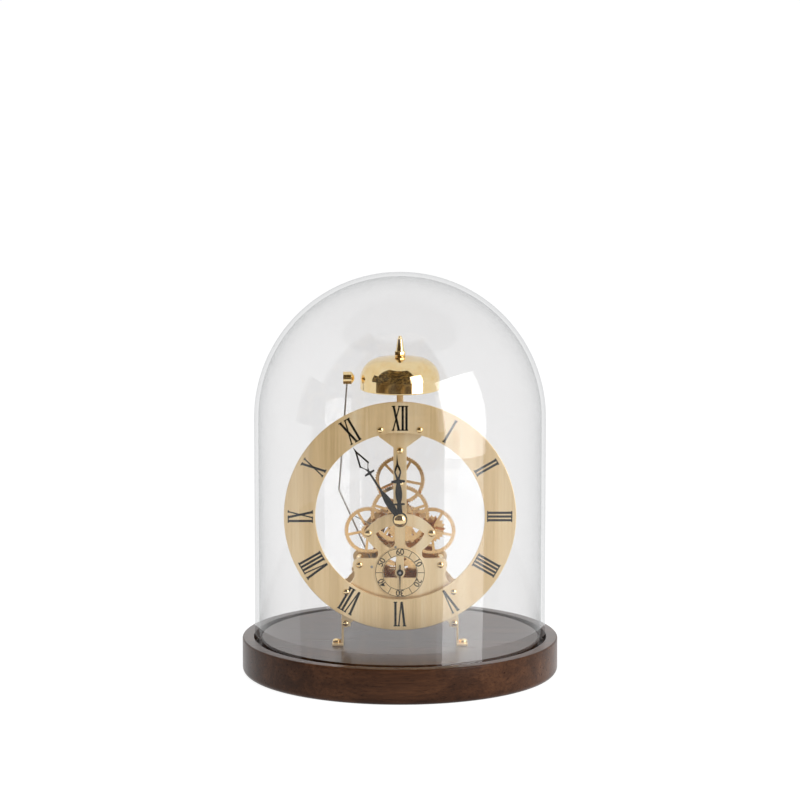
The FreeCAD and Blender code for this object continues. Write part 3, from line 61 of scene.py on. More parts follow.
# Millimetres, from the centre of the base's underside; pairs are inner and outer radii
BASE_RADIUS = 110.0
BASE_TOP = 25.0
BASE_FOOT_ROUND = 4.0
BASE_RIM_ROUND = 1.2
GROOVE_FLOOR = 19.0
GROOVE_RADII = (96.2, 101.9)
GLASS_RADII = (98.3, 101.3)
GLASS_SPRING = 179.2
DIAL_HEIGHT = 117.2
RING_RADII = (58.3, 80.0)
RING_THICK = 1.5
RING_FACE = -40.0
SECONDS_DROP = 40.2
SECONDS_FACE = -36.3
BELL_RIM = 202.6
BELL_DEPTH = -18.0
BELL_HEIGHT = 22.8


# Finishes


class Shade:
    """One output of a finish's nodes. Arithmetic on it adds Math nodes."""

    def __init__(self, finish, socket):
        self.finish = finish
        self.socket = socket

    def _math(self, operation, first, second):
        return self.finish.node("ShaderNodeMath", {"operation": operation}, {0: first, 1: second})

    def __add__(self, other):
        return self._math("ADD", self, other)

    def __radd__(self, other):
        return self._math("ADD", other, self)

    def __sub__(self, other):
        return self._math("SUBTRACT", self, other)

    def __rsub__(self, other):
        return self._math("SUBTRACT", other, self)

    def __mul__(self, other):
        return self._math("MULTIPLY", self, other)

    def __rmul__(self, other):
        return self._math("MULTIPLY", other, self)

    def __pow__(self, other):
        return self._math("POWER", self, other)

    def highest(self, other):
        return self._math("MAXIMUM", self, other)


class Finish:
    """A material, or the world if that is given, and its node tree."""

    def __init__(self, name, world=None):
        self.material = world or bpy.data.materials.new(name)
        self.material.use_nodes = True
        self.tree = self.material.node_tree
        self.tree.nodes.clear()

    def node(self, kind, settings=None, sockets=None, output=0):
        node = self.tree.nodes.new(kind)
        for key, value in (settings or {}).items():
            if key == "stops":
                set_stops(node.color_ramp, value)
            else:
                setattr(node, key, value)
        for key, value in (sockets or {}).items():
            if isinstance(value, Shade):
                self.tree.links.new(value.socket, node.inputs[key])
            else:
                node.inputs[key].default_value = value
        return Shade(self, node.outputs[output])

    def noise(self, scale, detail=3.0, rough=0.55, warp=0.0):
        """Noise in object coordinates. One cell measures one over scale, in metres."""
        where = self.node("ShaderNodeTexCoord", output=3)
        place = self.node("ShaderNodeMapping", None, {"Vector": where, "Scale": scale})
        return self.node("ShaderNodeTexNoise", None, {
            "Vector": place, "Scale": 1.0, "Detail": detail, "Roughness": rough, "Distortion": warp})

    def ramp(self, value, *stops):
        return self.node("ShaderNodeValToRGB", {"stops": stops}, {0: value})

    def bump(self, height, strength, distance):
        return self.node("ShaderNodeBump", None, {"Height": height, "Strength": strength,
                                                  "Distance": distance})

    def show(self, shader, kind="ShaderNodeOutputMaterial"):
        out = self.tree.nodes.new(kind)
        self.tree.links.new(shader.socket, out.inputs["Surface"])
        return self.material


def set_stops(ramp, stops):
    while len(ramp.elements) < len(stops):
        ramp.elements.new(0.5)
    for element, (position, colour) in zip(ramp.elements, stops):
        element.position = position
        element.color = tuple(colour) + (1.0,)


def walnut(name, sheen, coat):
    """Oiled walnut board, grain along X, satin varnish."""
    finish = Finish(name)
    figure = finish.noise((6.0, 70.0, 70.0), 4.0, 0.6, 0.6)
    grain = finish.noise((24.0, 620.0, 620.0), 3.0, 0.6, 0.2)
    pores = finish.noise((90.0, 1900.0, 1900.0), 2.0, 0.5)
    cloud = finish.noise((14.0, 14.0, 26.0), 2.0)
    colour = finish.ramp(figure * 0.55 + grain * 0.3 + cloud * 0.15,
                         (0.32, (0.018, 0.0066, 0.0028)), (0.47, (0.044, 0.0165, 0.0068)),
                         (0.60, (0.080, 0.0320, 0.0135)), (0.74, (0.130, 0.056, 0.0250)))
    dark = finish.ramp(pores, (0.30, (0.45, 0.45, 0.45)), (0.46, (1.0, 1.0, 1.0)))
    toned = finish.node("ShaderNodeMix", {"data_type": "RGBA", "blend_type": "MULTIPLY"},
                        {0: 0.8, 6: colour, 7: dark}, output=2)
    return finish.show(finish.node("ShaderNodeBsdfPrincipled", None, {
        "Base Color": toned, "Roughness": 0.24 + grain * 0.10, "Specular IOR Level": sheen,
        "Coat Weight": coat, "Coat Roughness": 0.12,
        "Normal": finish.bump(pores * 0.6 + grain * 0.4, 0.10, 0.0002)}))


def clear_glass():
    """Blown glass: almost clear face on, greyer and more mirror-like towards its edges. The mirror is a real
    reflection. The grey towards the edges is mostly painted shade standing in for the dark edges that
    refraction gives, plus a little real grey from the longer path through the glass.
    """
    finish = Finish("clear_glass")
    facing = finish.node("ShaderNodeLayerWeight", None, {"Blend": 0.5}, output=1)
    clear = finish.node("ShaderNodeBsdfTransparent", None, {"Color": (0.946, 0.944, 0.944, 1.0)})
    # Painted shade: a darker see-through grey at grazing angles, in place of the dark edges that refraction
    # gives
    edge_shade = finish.node("ShaderNodeBsdfTransparent", None, {"Color": (0.66, 0.665, 0.67, 1.0)})
    through = finish.node("ShaderNodeMixShader", None, {0: facing ** 5.0, 1: clear, 2: edge_shade})
    mirror = finish.node("ShaderNodeBsdfPrincipled", None, {
        "Base Color": (0.97, 0.98, 0.98, 1.0), "Metallic": 1.0, "Roughness": 0.012})
    shine = 0.042 + (facing ** 5.0) * 0.42
    return finish.show(finish.node("ShaderNodeMixShader", None, {0: shine, 1: through, 2: mirror}))


def brushed_brass():
    """Champagne brass with upright brushing, lacquered."""
    finish = Finish("plate_brass")
    bands = finish.noise((75.0, 75.0, 2.5), 2.0, 0.5)
    lines = finish.noise((900.0, 900.0, 14.0), 3.0, 0.6)
    hair = finish.noise((4200.0, 4200.0, 70.0), 2.0, 0.6)
    tone = finish.ramp(bands * 0.6 + lines * 0.28 + hair * 0.12,
                       (0.33, (0.70, 0.49, 0.235)), (0.50, (0.90, 0.675, 0.375)),
                       (0.66, (1.0, 0.82, 0.54)))
    return finish.show(finish.node("ShaderNodeBsdfPrincipled", None, {
        "Base Color": tone, "Metallic": 0.55, "Roughness": 0.26 + hair * 0.10 + lines * 0.06,
        "Normal": finish.bump(hair * 0.5 + lines * 0.5, 0.10, 0.00012)}))


def wheel_brass():
    """Rosy gilt brass, finely machined."""
    finish = Finish("wheel_brass")
    cloud = finish.noise((160.0, 160.0, 160.0), 3.0, 0.6)
    lines = finish.noise((2600.0, 500.0, 2600.0), 2.0, 0.6)
    tone = finish.ramp(cloud * 0.7 + lines * 0.3, (0.32, (0.72, 0.43, 0.170)),
                       (0.55, (0.90, 0.60, 0.290)), (0.72, (0.97, 0.72, 0.40)))
    return finish.show(finish.node("ShaderNodeBsdfPrincipled", None, {
        "Base Color": tone, "Metallic": 1.0, "Roughness": 0.13 + cloud * 0.10,
        "Normal": finish.bump(lines, 0.08, 0.0001)}))


def polished_brass():
    """Bright gilt brass with faint polishing marks."""
    finish = Finish("polished_brass")
    cloud = finish.noise((120.0, 120.0, 120.0), 3.0, 0.6)
    marks = finish.noise((700.0, 700.0, 90.0), 3.0, 0.6, 0.3)
    tone = finish.ramp(cloud, (0.35, (0.98, 0.73, 0.37)), (0.60, (1.0, 0.80, 0.46)))
    return finish.show(finish.node("ShaderNodeBsdfPrincipled", None, {
        "Base Color": tone, "Metallic": 1.0, "Roughness": 0.035 + marks * 0.06,
        "Normal": finish.bump(marks, 0.03, 0.0001)}))


def arbor_steel():
    """Blue-grey turned steel."""
    finish = Finish("arbor_steel")
    rings = finish.noise((900.0, 2600.0, 900.0), 3.0, 0.6)
    tone = finish.ramp(rings, (0.35, (0.30, 0.285, 0.27)), (0.65, (0.50, 0.48, 0.455)))
    return finish.show(finish.node("ShaderNodeBsdfPrincipled", None, {
        "Base Color": tone, "Metallic": 1.0, "Roughness": 0.22 + rings * 0.14,
        "Normal": finish.bump(rings, 0.06, 0.0001)}))


def black_paint(name, gloss):
    """Satin black, with the faint orange peel of a sprayed coat."""
    finish = Finish(name)
    peel = finish.noise((1500.0, 1500.0, 1500.0), 2.0, 0.5)
    tone = finish.ramp(peel, (0.35, (0.0040, 0.0042, 0.0050)), (0.65, (0.0085, 0.0088, 0.0100)))
    return finish.show(finish.node("ShaderNodeBsdfPrincipled", None, {
        "Base Color": tone, "Roughness": gloss + peel * 0.10, "Specular IOR Level": 0.14,
        "Normal": finish.bump(peel, 0.05, 0.0001)}))


FINISHES = {
    "walnut": walnut("walnut", 0.12, 0.0), "clear_glass": clear_glass(), "plate_brass": brushed_brass(),
    "wheel_brass": wheel_brass(), "polished_brass": polished_brass(), "arbor_steel": arbor_steel(),
    "black_hands": black_paint("black_hands", 0.42),
}
WALNUT_TOP = walnut("walnut_top", 0.50, 0.10)
DIAL_ENAMEL = black_paint("dial_enamel", 0.38)


# Mesh helpers


def body_of(node):
    return frame["nodes"][node]["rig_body"]


def object_from(name, shape, *coats):
    """Turns a bmesh in metres into an object of the scene, and frees the bmesh."""
    mesh = bpy.data.meshes.new(name)
    shape.to_mesh(mesh)
    shape.free()
    made = bpy.data.objects.new(name, mesh)
    bpy.context.scene.collection.objects.link(made)
    for coat in coats:
        mesh.materials.append(coat)
    return made


def new_verts(made):
    """The vertices among what a bmesh operator made."""
    return [item for item in made if isinstance(item, bmesh.types.BMVert)]


SHARP_FROM = 32.0
SOFTEN_FROM = 38.0


def piece_from(name, shape, slot, body, nodes=(), soften=0.0, keep_sharp=SHARP_FROM, coats=None):
    """Turns a bmesh in metres into a piece that rides on its body and stands for its nodes."""
    piece = object_from(name, shape, *(coats or [FINISHES[slot]]))
    for face in piece.data.polygons:
        face.use_smooth = True
    piece.data.set_sharp_from_angle(angle=math.radians(keep_sharp))
    if soften:
        edge = piece.modifiers.new("soft_edges", "BEVEL")
        edge.width = soften * MM
        edge.segments = 2
        edge.limit_method = "ANGLE"
        edge.angle_limit = math.radians(SOFTEN_FROM)
        edge.harden_normals = True
    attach(piece, body)
    if nodes:
        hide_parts(*nodes)


def spin_into(shape, profile, steps, place):
    """Spins (radius, height) points in millimetres once round, and puts the form in its place."""
    corners = [shape.verts.new((r * MM, 0.0, h * MM)) for r, h in profile]
    edges = [shape.edges.new(pair) for pair in zip(corners, corners[1:])]
    done = bmesh.ops.spin(shape, geom=corners + edges, cent=(0, 0, 0), axis=(0, 0, 1), dvec=(0, 0, 0),
                          angle=math.tau, steps=steps, space=Matrix.Identity(4), use_merge=True)
    reached = set()
    waiting = [v for v in set(corners + new_verts(done["geom_last"])) if v.is_valid]
    while waiting:
        vert = waiting.pop()
        if vert in reached:
            continue
        reached.add(vert)
        waiting.extend(e.other_vert(vert) for e in vert.link_edges if e.other_vert(vert) not in reached)
    bmesh.ops.transform(shape, matrix=place, verts=list(reached))


def close_up(shape):
    """Joins a spun form's seam and poles, and turns its faces outward."""
    bmesh.ops.remove_doubles(shape, verts=shape.verts, dist=1e-6)
    bmesh.ops.dissolve_degenerate(shape, dist=1e-7, edges=shape.edges)
    bmesh.ops.recalc_face_normals(shape, faces=shape.faces)


UPRIGHT = Matrix.Identity(4)
FORWARD = Matrix.Rotation(math.radians(90.0), 4, "X")


def arc(centre_r, centre_h, reach_r, reach_h, start, end, steps):
    """Points along a quarter of an ellipse, or less, in a profile."""
    points = []
    for step in range(steps + 1):
        angle = math.radians(start + (end - start) * step / steps)
        points.append((centre_r + reach_r * math.cos(angle), centre_h + reach_h * math.sin(angle)))
    return points


def dial_turn(angle):
    """Turns a form drawn upright at the dial's centre clockwise, seen from the front."""
    return Matrix.Rotation(math.radians(angle), 4, "Y")


def islands(node):
    """Boxes of the separate solids in a CAD node, as lowest and highest corners, from left to right."""
    shape = bmesh.new()
    shape.from_mesh(frame["nodes"][node].data)
    bmesh.ops.remove_doubles(shape, verts=shape.verts, dist=1e-6)
    left, boxes = set(shape.verts), []
    while left:
        waiting, seen = [left.pop()], []
        while waiting:
            vert = waiting.pop()
            seen.append(vert.co.copy())
            for edge in vert.link_edges:
                other = edge.other_vert(vert)
                if other in left:
                    left.remove(other)
                    waiting.append(other)
        low = Vector([min(p[i] for p in seen) for i in range(3)])
        high = Vector([max(p[i] for p in seen) for i in range(3)])
        boxes.append((low, high))
    shape.free()
    return sorted(boxes, key=lambda box: [round(c / MM, 2) for c in box[0]])


SLOT_LOWEST = 0.4
SLOT_FACING = 0.3
SLOT_DEPTH_SHARE = 0.42


def cut_slot(shape, verts, place, half, deep):
    """A screwdriver slot: two cuts across a head, and the strip between them pushed in."""
    back = place.inverted()
    for side in (-1, 1):
        faces = {f for v in verts if v.is_valid for f in v.link_faces}
        geometry = list(faces) + list({e for f in faces for e in f.edges}) + \
            list({v for f in faces for v in f.verts})
        made = bmesh.ops.bisect_plane(shape, geom=geometry, dist=1e-7,
                                      plane_co=place @ Vector((side * half * MM, 0, 0)),
                                      plane_no=(place.to_3x3() @ Vector((1, 0, 0))))
        verts |= set(new_verts(made["geom"]))
    strip = []
    for face in {f for v in verts if v.is_valid for f in v.link_faces}:
        middle = back @ face.calc_center_median()
        outward = (back.to_3x3() @ face.normal).z
        if abs(middle.x) < half * MM and middle.z > SLOT_LOWEST * MM and outward > SLOT_FACING:
            strip.append(face)
    made = bmesh.ops.extrude_face_region(shape, geom=strip)
    moved = new_verts(made["geom"])
    bmesh.ops.delete(shape, geom=strip, context="FACES_ONLY")
    bmesh.ops.translate(shape, verts=moved, vec=place.to_3x3() @ Vector((0, 0, -deep * MM)))


FLAT_WITHIN = 0.6
ARBOR_LEEWAY = 0.04


def refined(node, slot, soften, coats=None, arbor=None):
    """A CAD node's own form, merged into whole faces with its edges softened.

    arbor is (side, rise, radius) from the dial's centre: faces within that radius get the second coat."""
    shape = bmesh.new()
    shape.from_mesh(frame["nodes"][node].data)
    bmesh.ops.remove_doubles(shape, verts=shape.verts, dist=1e-6)
    bmesh.ops.dissolve_limit(shape, angle_limit=math.radians(FLAT_WITHIN), verts=shape.verts,
                             edges=shape.edges)
    for face in shape.faces:
        face.material_index = 0
        if arbor is not None:
            side, rise, radius = arbor
            far = max(math.hypot(v.co.x / MM - side, v.co.z / MM - DIAL_HEIGHT - rise) for v in face.verts)
            face.material_index = 1 if far < radius + ARBOR_LEEWAY else 0
    piece_from("dressed_" + node, shape, slot, body_of(node), (node,), soften, coats=coats)


# Walnut base and glass dome


def make_base():
    shape = bmesh.new()
    foot, rim = BASE_FOOT_ROUND, BASE_RIM_ROUND
    inner, outer = GROOVE_RADII
    profile = [(0.0, 0.0)] + arc(BASE_RADIUS - foot, foot, foot, foot, -90.0, 0.0, 7)
    profile += arc(BASE_RADIUS - rim, BASE_TOP - rim, rim, rim, 0.0, 90.0, 5)
    profile += [(outer, BASE_TOP), (outer, GROOVE_FLOOR), (inner, GROOVE_FLOOR), (inner, BASE_TOP),
                (60.0, BASE_TOP), (0.0, BASE_TOP)]
    spin_into(shape, profile, 192, UPRIGHT)
    close_up(shape)
    for face in shape.faces:
        face.material_index = 1 if face.normal.z > 0.9 else 0
    piece_from("turned_walnut_base", shape, "walnut", "movement", ("walnut_base",), 0.45, 40.0,
               [FINISHES["walnut"], WALNUT_TOP])


def make_dome():
    shape = bmesh.new()
    inner, outer = GLASS_RADII
    lip = GROOVE_FLOOR + 0.5
    profile = [(inner + 0.4, GROOVE_FLOOR), (outer - 0.4, GROOVE_FLOOR), (outer, lip)]
    profile += arc(0.0, GLASS_SPRING, outer, outer, 0.0, 90.0, 44)
    profile += arc(0.0, GLASS_SPRING, inner, inner, 90.0, 0.0, 44)
    profile += [(inner, lip), (inner + 0.4, GROOVE_FLOOR)]
    spin_into(shape, profile, 144, UPRIGHT)
    close_up(shape)
    piece_from("blown_glass_dome", shape, "clear_glass", "dome", ("glass_dome",), 0.0, 60.0)


# Chapter ring, its numerals and the seconds dial


def make_chapter_ring():
    shape = bmesh.new()
    bore, rim = RING_RADII
    profile = [(bore, 0.0), (rim, 0.0), (rim, RING_THICK), (bore, RING_THICK), (bore, 0.0)]
    place = Matrix.Translation((0, (RING_FACE + RING_THICK) * MM, DIAL_HEIGHT * MM)) @ FORWARD
    spin_into(shape, profile, 192, place)
    close_up(shape)
    piece_from("brushed_chapter_ring", shape, "plate_brass", "movement", ("chapter_ring",), 0.4, 32.0)


NUMERAL_FOOT = 59.9
NUMERAL_TOP = 77.3
THICK = 1.6
THIN = 0.9
SERIF = 0.85
OVERHANG = 0.45
LETTER_GAP = 1.0
LETTERS = {"I": THICK, "V": 5.3, "X": 5.3}
SUNK = 0.03
RAISED = 0.06
NUMERALS = ["XII", "I", "II", "III", "IIII", "V", "VI", "VII", "VIII", "IX", "X", "XI"]


def add_stroke(shape, start, end, width, turn):
    """A straight raised stroke on the ring between two points, both as (side, out) from the centre."""
    a, b = Vector(start), Vector(end)
    across = (b - a).orthogonal().normalized() * (width / 2)
    if abs(across.x) > abs(across.y) and abs((b - a).y) > 1.0:
        across = Vector((width / 2 / abs((b - a).normalized().y), 0.0))
    corners = [a - across, a + across, b + across, b - across]
    verts = [shape.verts.new((p.x * MM, (RING_FACE + SUNK) * MM, p.y * MM)) for p in corners]
    base = shape.faces.new(verts)
    made = bmesh.ops.extrude_face_region(shape, geom=[base], use_keep_orig=True)
    top = new_verts(made["geom"])
    bmesh.ops.translate(shape, verts=top, vec=(0, -(RAISED + SUNK) * MM, 0))
    place = Matrix.Translation((0, 0, DIAL_HEIGHT * MM)) @ turn
    bmesh.ops.transform(shape, matrix=place, verts=verts + top)


def add_letter(shape, letter, left, turn):
    foot, top, width = NUMERAL_FOOT, NUMERAL_TOP, LETTERS[letter]
    right = left + width
    ends = []
    if letter == "I":
        add_stroke(shape, (left + THICK / 2, foot), (left + THICK / 2, top), THICK, turn)
        ends = [(left, right, foot), (left, right, top)]
    if letter == "V":
        low = left + width * 0.53
        add_stroke(shape, (left + THICK / 2, top), (low, foot), THICK, turn)
        add_stroke(shape, (right - THIN / 2, top), (low + 0.3, foot), THIN, turn)
        ends = [(left, left + THICK, top), (right - THIN, right, top)]
    if letter == "X":
        add_stroke(shape, (left + THICK / 2, top), (right - THICK / 2, foot), THICK, turn)
        add_stroke(shape, (right - THIN / 2, top), (left + THIN / 2, foot), THIN, turn)
        ends = [(left, left + THICK, top), (right - THIN, right, top),
                (left, left + THIN, foot), (right - THICK, right, foot)]
    for start, end, height in ends:
        inward = SERIF / 2 if height == foot else -SERIF / 2
        add_stroke(shape, (start - OVERHANG, height + inward), (end + OVERHANG, height + inward), SERIF, turn)


def make_numerals():
    shape = bmesh.new()
    for hour, text in enumerate(NUMERALS):
        width = sum(LETTERS[c] for c in text) + LETTER_GAP * (len(text) - 1)
        left = -width / 2
        for letter in text:
            add_letter(shape, letter, left, dial_turn(hour * 30.0))
            left += LETTERS[letter] + LETTER_GAP
    bmesh.ops.recalc_face_normals(shape, faces=shape.faces)
    piece_from("roman_numerals", shape, "black_hands", "movement", coats=[DIAL_ENAMEL])


FIGURE_SIZE = 6.0
FIGURE_PLACE = 14.4
FIGURE_RISE = 0.05
MARK_ENDS = (12.3, 16.8)
MARK_HALF = 0.2
CIRCLES = (12.05, 16.85)
CIRCLE_HALF = 0.16


def add_figures(shape, text, angle):
    """Figures cut from the plain built-in letters, standing radially on the seconds dial."""
    letters = bpy.data.curves.new("figures", "FONT")
    letters.body = text
    letters.size = FIGURE_SIZE * MM
    letters.extrude = FIGURE_RISE * MM
    letters.offset = 0.05 * MM
    letters.space_character = 0.95
    letters.align_x = "CENTER"
    letters.align_y = "CENTER"
    holder = bpy.data.objects.new("figures", letters)
    bpy.context.scene.collection.objects.link(holder)
    bpy.context.view_layer.update()
    mesh = bpy.data.meshes.new_from_object(holder.evaluated_get(bpy.context.evaluated_depsgraph_get()))
    middle = sum((v.co for v in mesh.vertices), Vector()) / max(1, len(mesh.vertices))
    upright = Matrix.Translation((0, 0, FIGURE_PLACE * MM)) @ FORWARD @ Matrix.Translation((0, -middle.y, 0))
    place = Matrix.Translation((0, (SECONDS_FACE - FIGURE_RISE / 2) * MM, (DIAL_HEIGHT - SECONDS_DROP) * MM))
    mesh.transform(place @ dial_turn(angle) @ upright)
    shape.from_mesh(mesh)
    bpy.data.objects.remove(holder)


def make_seconds_marks():
    shape = bmesh.new()
    for step, text in enumerate(["60", "10", "20", "30", "40", "50"]):
        add_figures(shape, text, step * 60.0)
    centre = Matrix.Translation((0, SECONDS_FACE * MM, (DIAL_HEIGHT - SECONDS_DROP) * MM))
    for step in range(6):
        start, end = MARK_ENDS
        corners = ((-MARK_HALF, start), (MARK_HALF, start), (MARK_HALF, end), (-MARK_HALF, end))
        verts = [shape.verts.new((side * MM, SUNK * MM, out * MM)) for side, out in corners]
        made = bmesh.ops.extrude_face_region(shape, geom=[shape.faces.new(verts)], use_keep_orig=True)
        top = new_verts(made["geom"])
        bmesh.ops.translate(shape, verts=top, vec=(0, -(FIGURE_RISE + SUNK) * MM, 0))
        bmesh.ops.transform(shape, matrix=centre @ dial_turn(30.0 + step * 60.0), verts=verts + top)
    for radius in CIRCLES:
        near, far = radius - CIRCLE_HALF, radius + CIRCLE_HALF
        profile = [(near, -SUNK), (far, -SUNK), (far, FIGURE_RISE), (near, FIGURE_RISE), (near, -SUNK)]
        spin_into(shape, profile, 96, centre @ FORWARD)
    bmesh.ops.remove_doubles(shape, verts=shape.verts, dist=1e-7)
    bmesh.ops.recalc_face_normals(shape, faces=shape.faces)
    piece_from("seconds_marks", shape, "black_hands", "movement", coats=[DIAL_ENAMEL])


# Turned brass: bell, finial, screws, caps and the hands' nut


def make_bell():
    shape = bmesh.new()
    outside = [(27.15, 0.0), (27.5, 0.35), (27.5, 0.8), (27.5, 3.6), (27.5, 6.6)]
    outside += arc(12.6, 7.0, 14.9, 14.6, 3.0, 82.0, 24)
    outside += [(11.5, 21.95), (8.0, 22.45), (5.0, 22.7), (2.6, BELL_HEIGHT)]
    inside = [(2.6, 21.4), (8.0, 21.0)] + arc(12.4, 6.8, 13.7, 13.5, 84.0, 3.0, 24)
    inside += [(26.1, 0.35), (26.5, 0.0)]
    spin_into(shape, outside + inside + [outside[0]], 128,
              Matrix.Translation((0, BELL_DEPTH * MM, BELL_RIM * MM)))
    close_up(shape)
    piece_from("polished_bell", shape, "polished_brass", "movement", ("bell",), 0.0, 50.0)


def make_finial():
    shape = bmesh.new()
    foot = Matrix.Translation((0, BELL_DEPTH * MM, (BELL_RIM + BELL_HEIGHT) * MM))
    profile = [(0.0, 0.0), (3.7, 0.0)] + arc(3.6, 0.3, 0.25, 0.3, -60.0, 60.0, 4)
    profile += [(2.3, 0.65), (1.9, 0.8), (1.9, 0.95), (2.4, 1.05), (0.0, 1.05)]
    spin_into(shape, profile, 40, foot)
    profile = [(0.0, 3.5), (3.1, 3.5), (2.85, 4.0), (2.5, 6.4), (1.75, 12.1), (1.25, 12.6), (1.3, 13.1)]
    profile += arc(0.0, 13.3, 1.35, 1.0, 0.0, 90.0, 5)
    spin_into(shape, profile, 40, foot)
    nut = bmesh.ops.create_cone(shape, cap_ends=True, segments=6, radius1=0.0042, radius2=0.0042,
                                depth=0.0026, matrix=foot @ Matrix.Translation((0, 0, 0.0023)))
    edges = list({e for v in nut["verts"] for e in v.link_edges})
    bmesh.ops.bevel(shape, geom=edges, offset=0.00035, affect="EDGES", segments=2, profile=0.5,
                    material=-1, clamp_overlap=True)
    close_up(shape)
    piece_from("bell_finial_and_nut", shape, "polished_brass", "movement", ("bell_finial",), 0.0, 35.0)


def head_profile(radius, height, base_share):
    """A short upright side under a round crown."""
    low = height * base_share
    return [(radius, 0.0)] + arc(0.0, low, radius, height - low, 0.0, 90.0, 10)


def make_heads(name, node, forward=True, base_share=0.22, slot_half=0.0, slot_turns=(0.0,)):
    """Polished round heads, one for each solid of the node, with slots if they are screws."""
    shape = bmesh.new()
    for number, (low, high) in enumerate(islands(node)):
        middle = (low + high) / 2
        if forward:
            radius, height = (high.x - low.x) / 2 / MM, (high.y - low.y) / MM
            place = Matrix.Translation((middle.x, high.y, middle.z)) @ FORWARD
        else:
            radius, height = (high.x - low.x) / 2 / MM, (high.z - low.z) / MM
            place = Matrix.Translation((middle.x, middle.y, low.z))
        place = place @ Matrix.Rotation(math.radians(slot_turns[number % len(slot_turns)]), 4, "Z")
        before = set(shape.verts)
        spin_into(shape, [(0.0, 0.0)] + head_profile(radius, height, base_share), 32, place)
        bmesh.ops.remove_doubles(shape, verts=[v for v in shape.verts if v not in before], dist=1e-6)
        fresh = {v for v in shape.verts if v not in before}
        bmesh.ops.recalc_face_normals(shape, faces=list({f for v in fresh for f in v.link_faces}))
        if slot_half:
            cut_slot(shape, fresh, place, slot_half, height * SLOT_DEPTH_SHARE)
    bmesh.ops.recalc_face_normals(shape, faces=shape.faces)
    piece_from(name, shape, "polished_brass", body_of(node), (node,), 0.0, 40.0)


# Everything else keeps the CAD form, refined


# Each wheel's arbor, as (side, rise, radius) from the dial's centre
WHEELS = {
    "centre_wheel": (0.0, 0.0, 1.5), "hour_wheel": None, "minute_wheel": None,
    "top_wheel": (0.0, 22.73, 0.9), "left_wheel": (-21.87, -12.63, 0.9),
    "right_wheel": (21.87, -12.63, 0.9), "third_wheel": (-3.0, -22.5, 0.9),
    "seconds_wheel": (0.0, -40.2, 0.9), "second_drive_wheel": (13.0, -31.2, 0.9),
    "first_drive_wheel": (14.6, -46.8, 0.9), "escape_wheel": (-11.5, -46.0, 0.9),
    "great_wheel": None, "barrel": None, "ratchet_wheel": None, "balance_wheel": (-20.0, -64.0, 0.9),
}
PLATE_WORK = {
    "front_plate": 0.22, "back_plate": 0.22, "seconds_dial": 0.12, "leg_left": 0.25, "leg_right": 0.25,
    "escapement_bridge": 0.18, "bell_stand": 0.25,
}
POLISHED_WORK = {
    "pillars": 0.15, "pillar_nuts": 0.2, "ring_posts": 0.12, "hammer_head": 0.22, "bridge_pillars": 0.12,
    "click": 0.12, "click_screw": 0.08,
}
STEEL_WORK = {
    "winding_arbor": 0.18, "hammer_arbor": 0.1, "hammer_wire": 0.0, "spring_post": 0.06,
    "hammer_spring": 0.0, "motion_stud": 0.08, "pallet_lever": 0.06,
}
HANDS = {"minute_hand": 0.10, "hour_hand": 0.10, "seconds_hand": 0.08}


def make_movement():
    coats = [FINISHES["wheel_brass"], FINISHES["arbor_steel"]]
    for node, arbor in WHEELS.items():
        refined(node, "wheel_brass", 0.10, coats, arbor)
    for slot, group in (("plate_brass", PLATE_WORK), ("polished_brass", POLISHED_WORK),
                        ("arbor_steel", STEEL_WORK), ("black_hands", HANDS)):
        for node, soften in group.items():
            refined(node, slot, soften)


# Studio


def seen_directly(finish):
    """1 for camera, glossy and transmission rays, else 0."""
    camera = finish.node("ShaderNodeLightPath", output=0)
    glossy = finish.node("ShaderNodeLightPath", output=3)
    passed = finish.node("ShaderNodeLightPath", output=6)
    return camera.highest(glossy).highest(passed)


def make_floor():
    """A pale floor that looks plain white and keeps the clock's shadow."""
    shape = bmesh.new()
    bmesh.ops.create_circle(shape, cap_ends=True, segments=64, radius=30.0)
    paint = Finish("floor_paint")
    matt = paint.node("ShaderNodeBsdfDiffuse", None, {"Color": (0.86, 0.86, 0.86, 1.0)})
    glow = paint.node("ShaderNodeEmission", None, {"Color": (1.0, 1.0, 1.0, 1.0), "Strength": 0.91})
    pale = paint.node("ShaderNodeBsdfDiffuse", None, {"Color": (0.20, 0.20, 0.20, 1.0)})
    both = paint.node("ShaderNodeAddShader", None, {0: pale, 1: glow})
    mixed = paint.node("ShaderNodeMixShader", None, {0: seen_directly(paint), 1: matt, 2: both})
    floor = object_from("floor", shape, paint.show(mixed))


def make_world():
    world = bpy.data.worlds.new("studio")
    bpy.context.scene.world = world
    room = Finish("studio", world)
    soft = room.node("ShaderNodeBackground", None, {"Color": (0.97, 0.985, 1.0, 1.0), "Strength": 0.50})
    white = room.node("ShaderNodeBackground", None, {"Color": (1.0, 1.0, 1.0, 1.0), "Strength": 1.0})
    mixed = room.node("ShaderNodeMixShader", None, {0: seen_directly(room), 1: soft, 2: white})
    room.show(mixed, "ShaderNodeOutputWorld")


def make_lamp(name, place, target, width, height, watts, mirrored=True):
    lamp = bpy.data.lights.new(name, "AREA")
    lamp.shape = "RECTANGLE"
    lamp.size, lamp.size_y = width, height
    lamp.energy = watts
    holder = bpy.data.objects.new(name, lamp)
    holder.location = place
    holder.rotation_euler = (Vector(target) - Vector(place)).to_track_quat("-Z", "Y").to_euler()
    holder.visible_camera = False
    holder.visible_glossy = mirrored
    bpy.context.scene.collection.objects.link(holder)


def stage_card(name, shape, colour):
    """A card seen only in polished metal and in the glass."""
    cloth = Finish(name + "_cloth")
    patches = cloth.ramp(cloth.noise((1.7, 1.7, 2.6), 3.0, 0.6), (0.50, colour), (0.60, (0.50, 0.34, 0.15)))
    matt = cloth.node("ShaderNodeBsdfDiffuse", None, {"Color": patches})
    card = object_from(name, shape, cloth.show(matt))
    card.visible_camera = False
    card.visible_diffuse = False
    card.visible_shadow = False
    card.visible_transmission = False


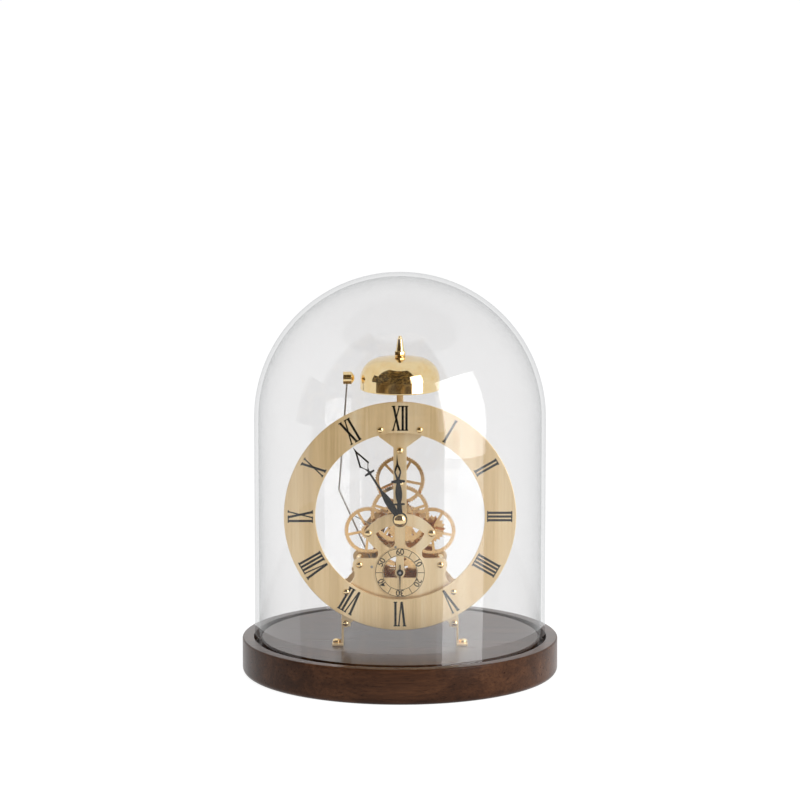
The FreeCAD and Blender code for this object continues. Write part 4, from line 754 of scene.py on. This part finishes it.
def swept(start, end, first, turn):
    """A line from start to end, swept round the clock from one angle by another, in degrees."""
    shape = bmesh.new()
    about = Matrix.Rotation(math.radians(first), 3, "Z")
    ends = [shape.verts.new(about @ Vector(corner)) for corner in (start, end)]
    edge = shape.edges.new(ends)
    bmesh.ops.spin(shape, geom=ends + [edge], cent=(0, 0, 0), axis=(0, 0, 1), dvec=(0, 0, 0),
                   angle=math.radians(turn), steps=32, space=Matrix.Identity(4), use_merge=False)
    return shape


WALL_DISTANCE = -4.4
CEILING = 2.3
JUST_ABOVE = 0.002


def make_dark_cards():
    """The unlit half of the room behind the camera: its wall, its floor and its ceiling."""
    wall = ((0, WALL_DISTANCE, 0.0), (0, WALL_DISTANCE, CEILING))
    floor = ((0, -0.74, JUST_ABOVE), (0, WALL_DISTANCE, JUST_ABOVE))
    ceiling = ((0, WALL_DISTANCE, CEILING), (0, -0.78, CEILING))
    stage_card("dark_wall", swept(*wall, -88.0, 118.0), (0.050, 0.040, 0.030))
    stage_card("dark_floor", swept(*floor, -72.0, 118.0), (0.10, 0.066, 0.036))
    stage_card("dark_ceiling", swept(*ceiling, -72.0, 118.0), (0.060, 0.046, 0.032))


def make_camera():
    lens = bpy.data.cameras.new("camera")
    lens.lens = 217.17
    lens.sensor_width = 36.0
    lens.clip_start, lens.clip_end = 0.1, 100.0
    camera = bpy.data.objects.new("camera", lens)
    camera.location = (0.0, -3.300, 0.752)
    camera.rotation_euler = (math.radians(80.364), 0.0, 0.0)
    bpy.context.scene.collection.objects.link(camera)
    bpy.context.scene.camera = camera


make_camera()
make_floor()
make_world()
make_dark_cards()
make_lamp("right_softbox", (0.536, -0.45, 0.33), (0.0, 0.0, 0.20), 0.44, 0.62, 4.0)
make_lamp("top_softbox", (-0.25, -0.9, 1.9), (0.0, 0.0, 0.1), 1.4, 1.4, 17.0, False)

make_base()
make_dome()
make_chapter_ring()
make_numerals()
make_seconds_marks()
make_bell()
make_finial()
make_heads("ring_screw_heads", "ring_screws")
make_heads("pivot_cap_domes", "pivot_caps")
make_heads("pillar_screw_heads", "pillar_screws", True, 0.25, 0.32, (25.0, -60.0, 80.0, 10.0, -35.0))
make_heads("foot_screw_heads", "foot_screws", False, 0.42, 0.42, (70.0, -50.0))
make_heads("hand_nut_dome", "hand_nut", True, 0.12)
make_movement()

bpy.context.scene.view_settings.view_transform = "Standard"
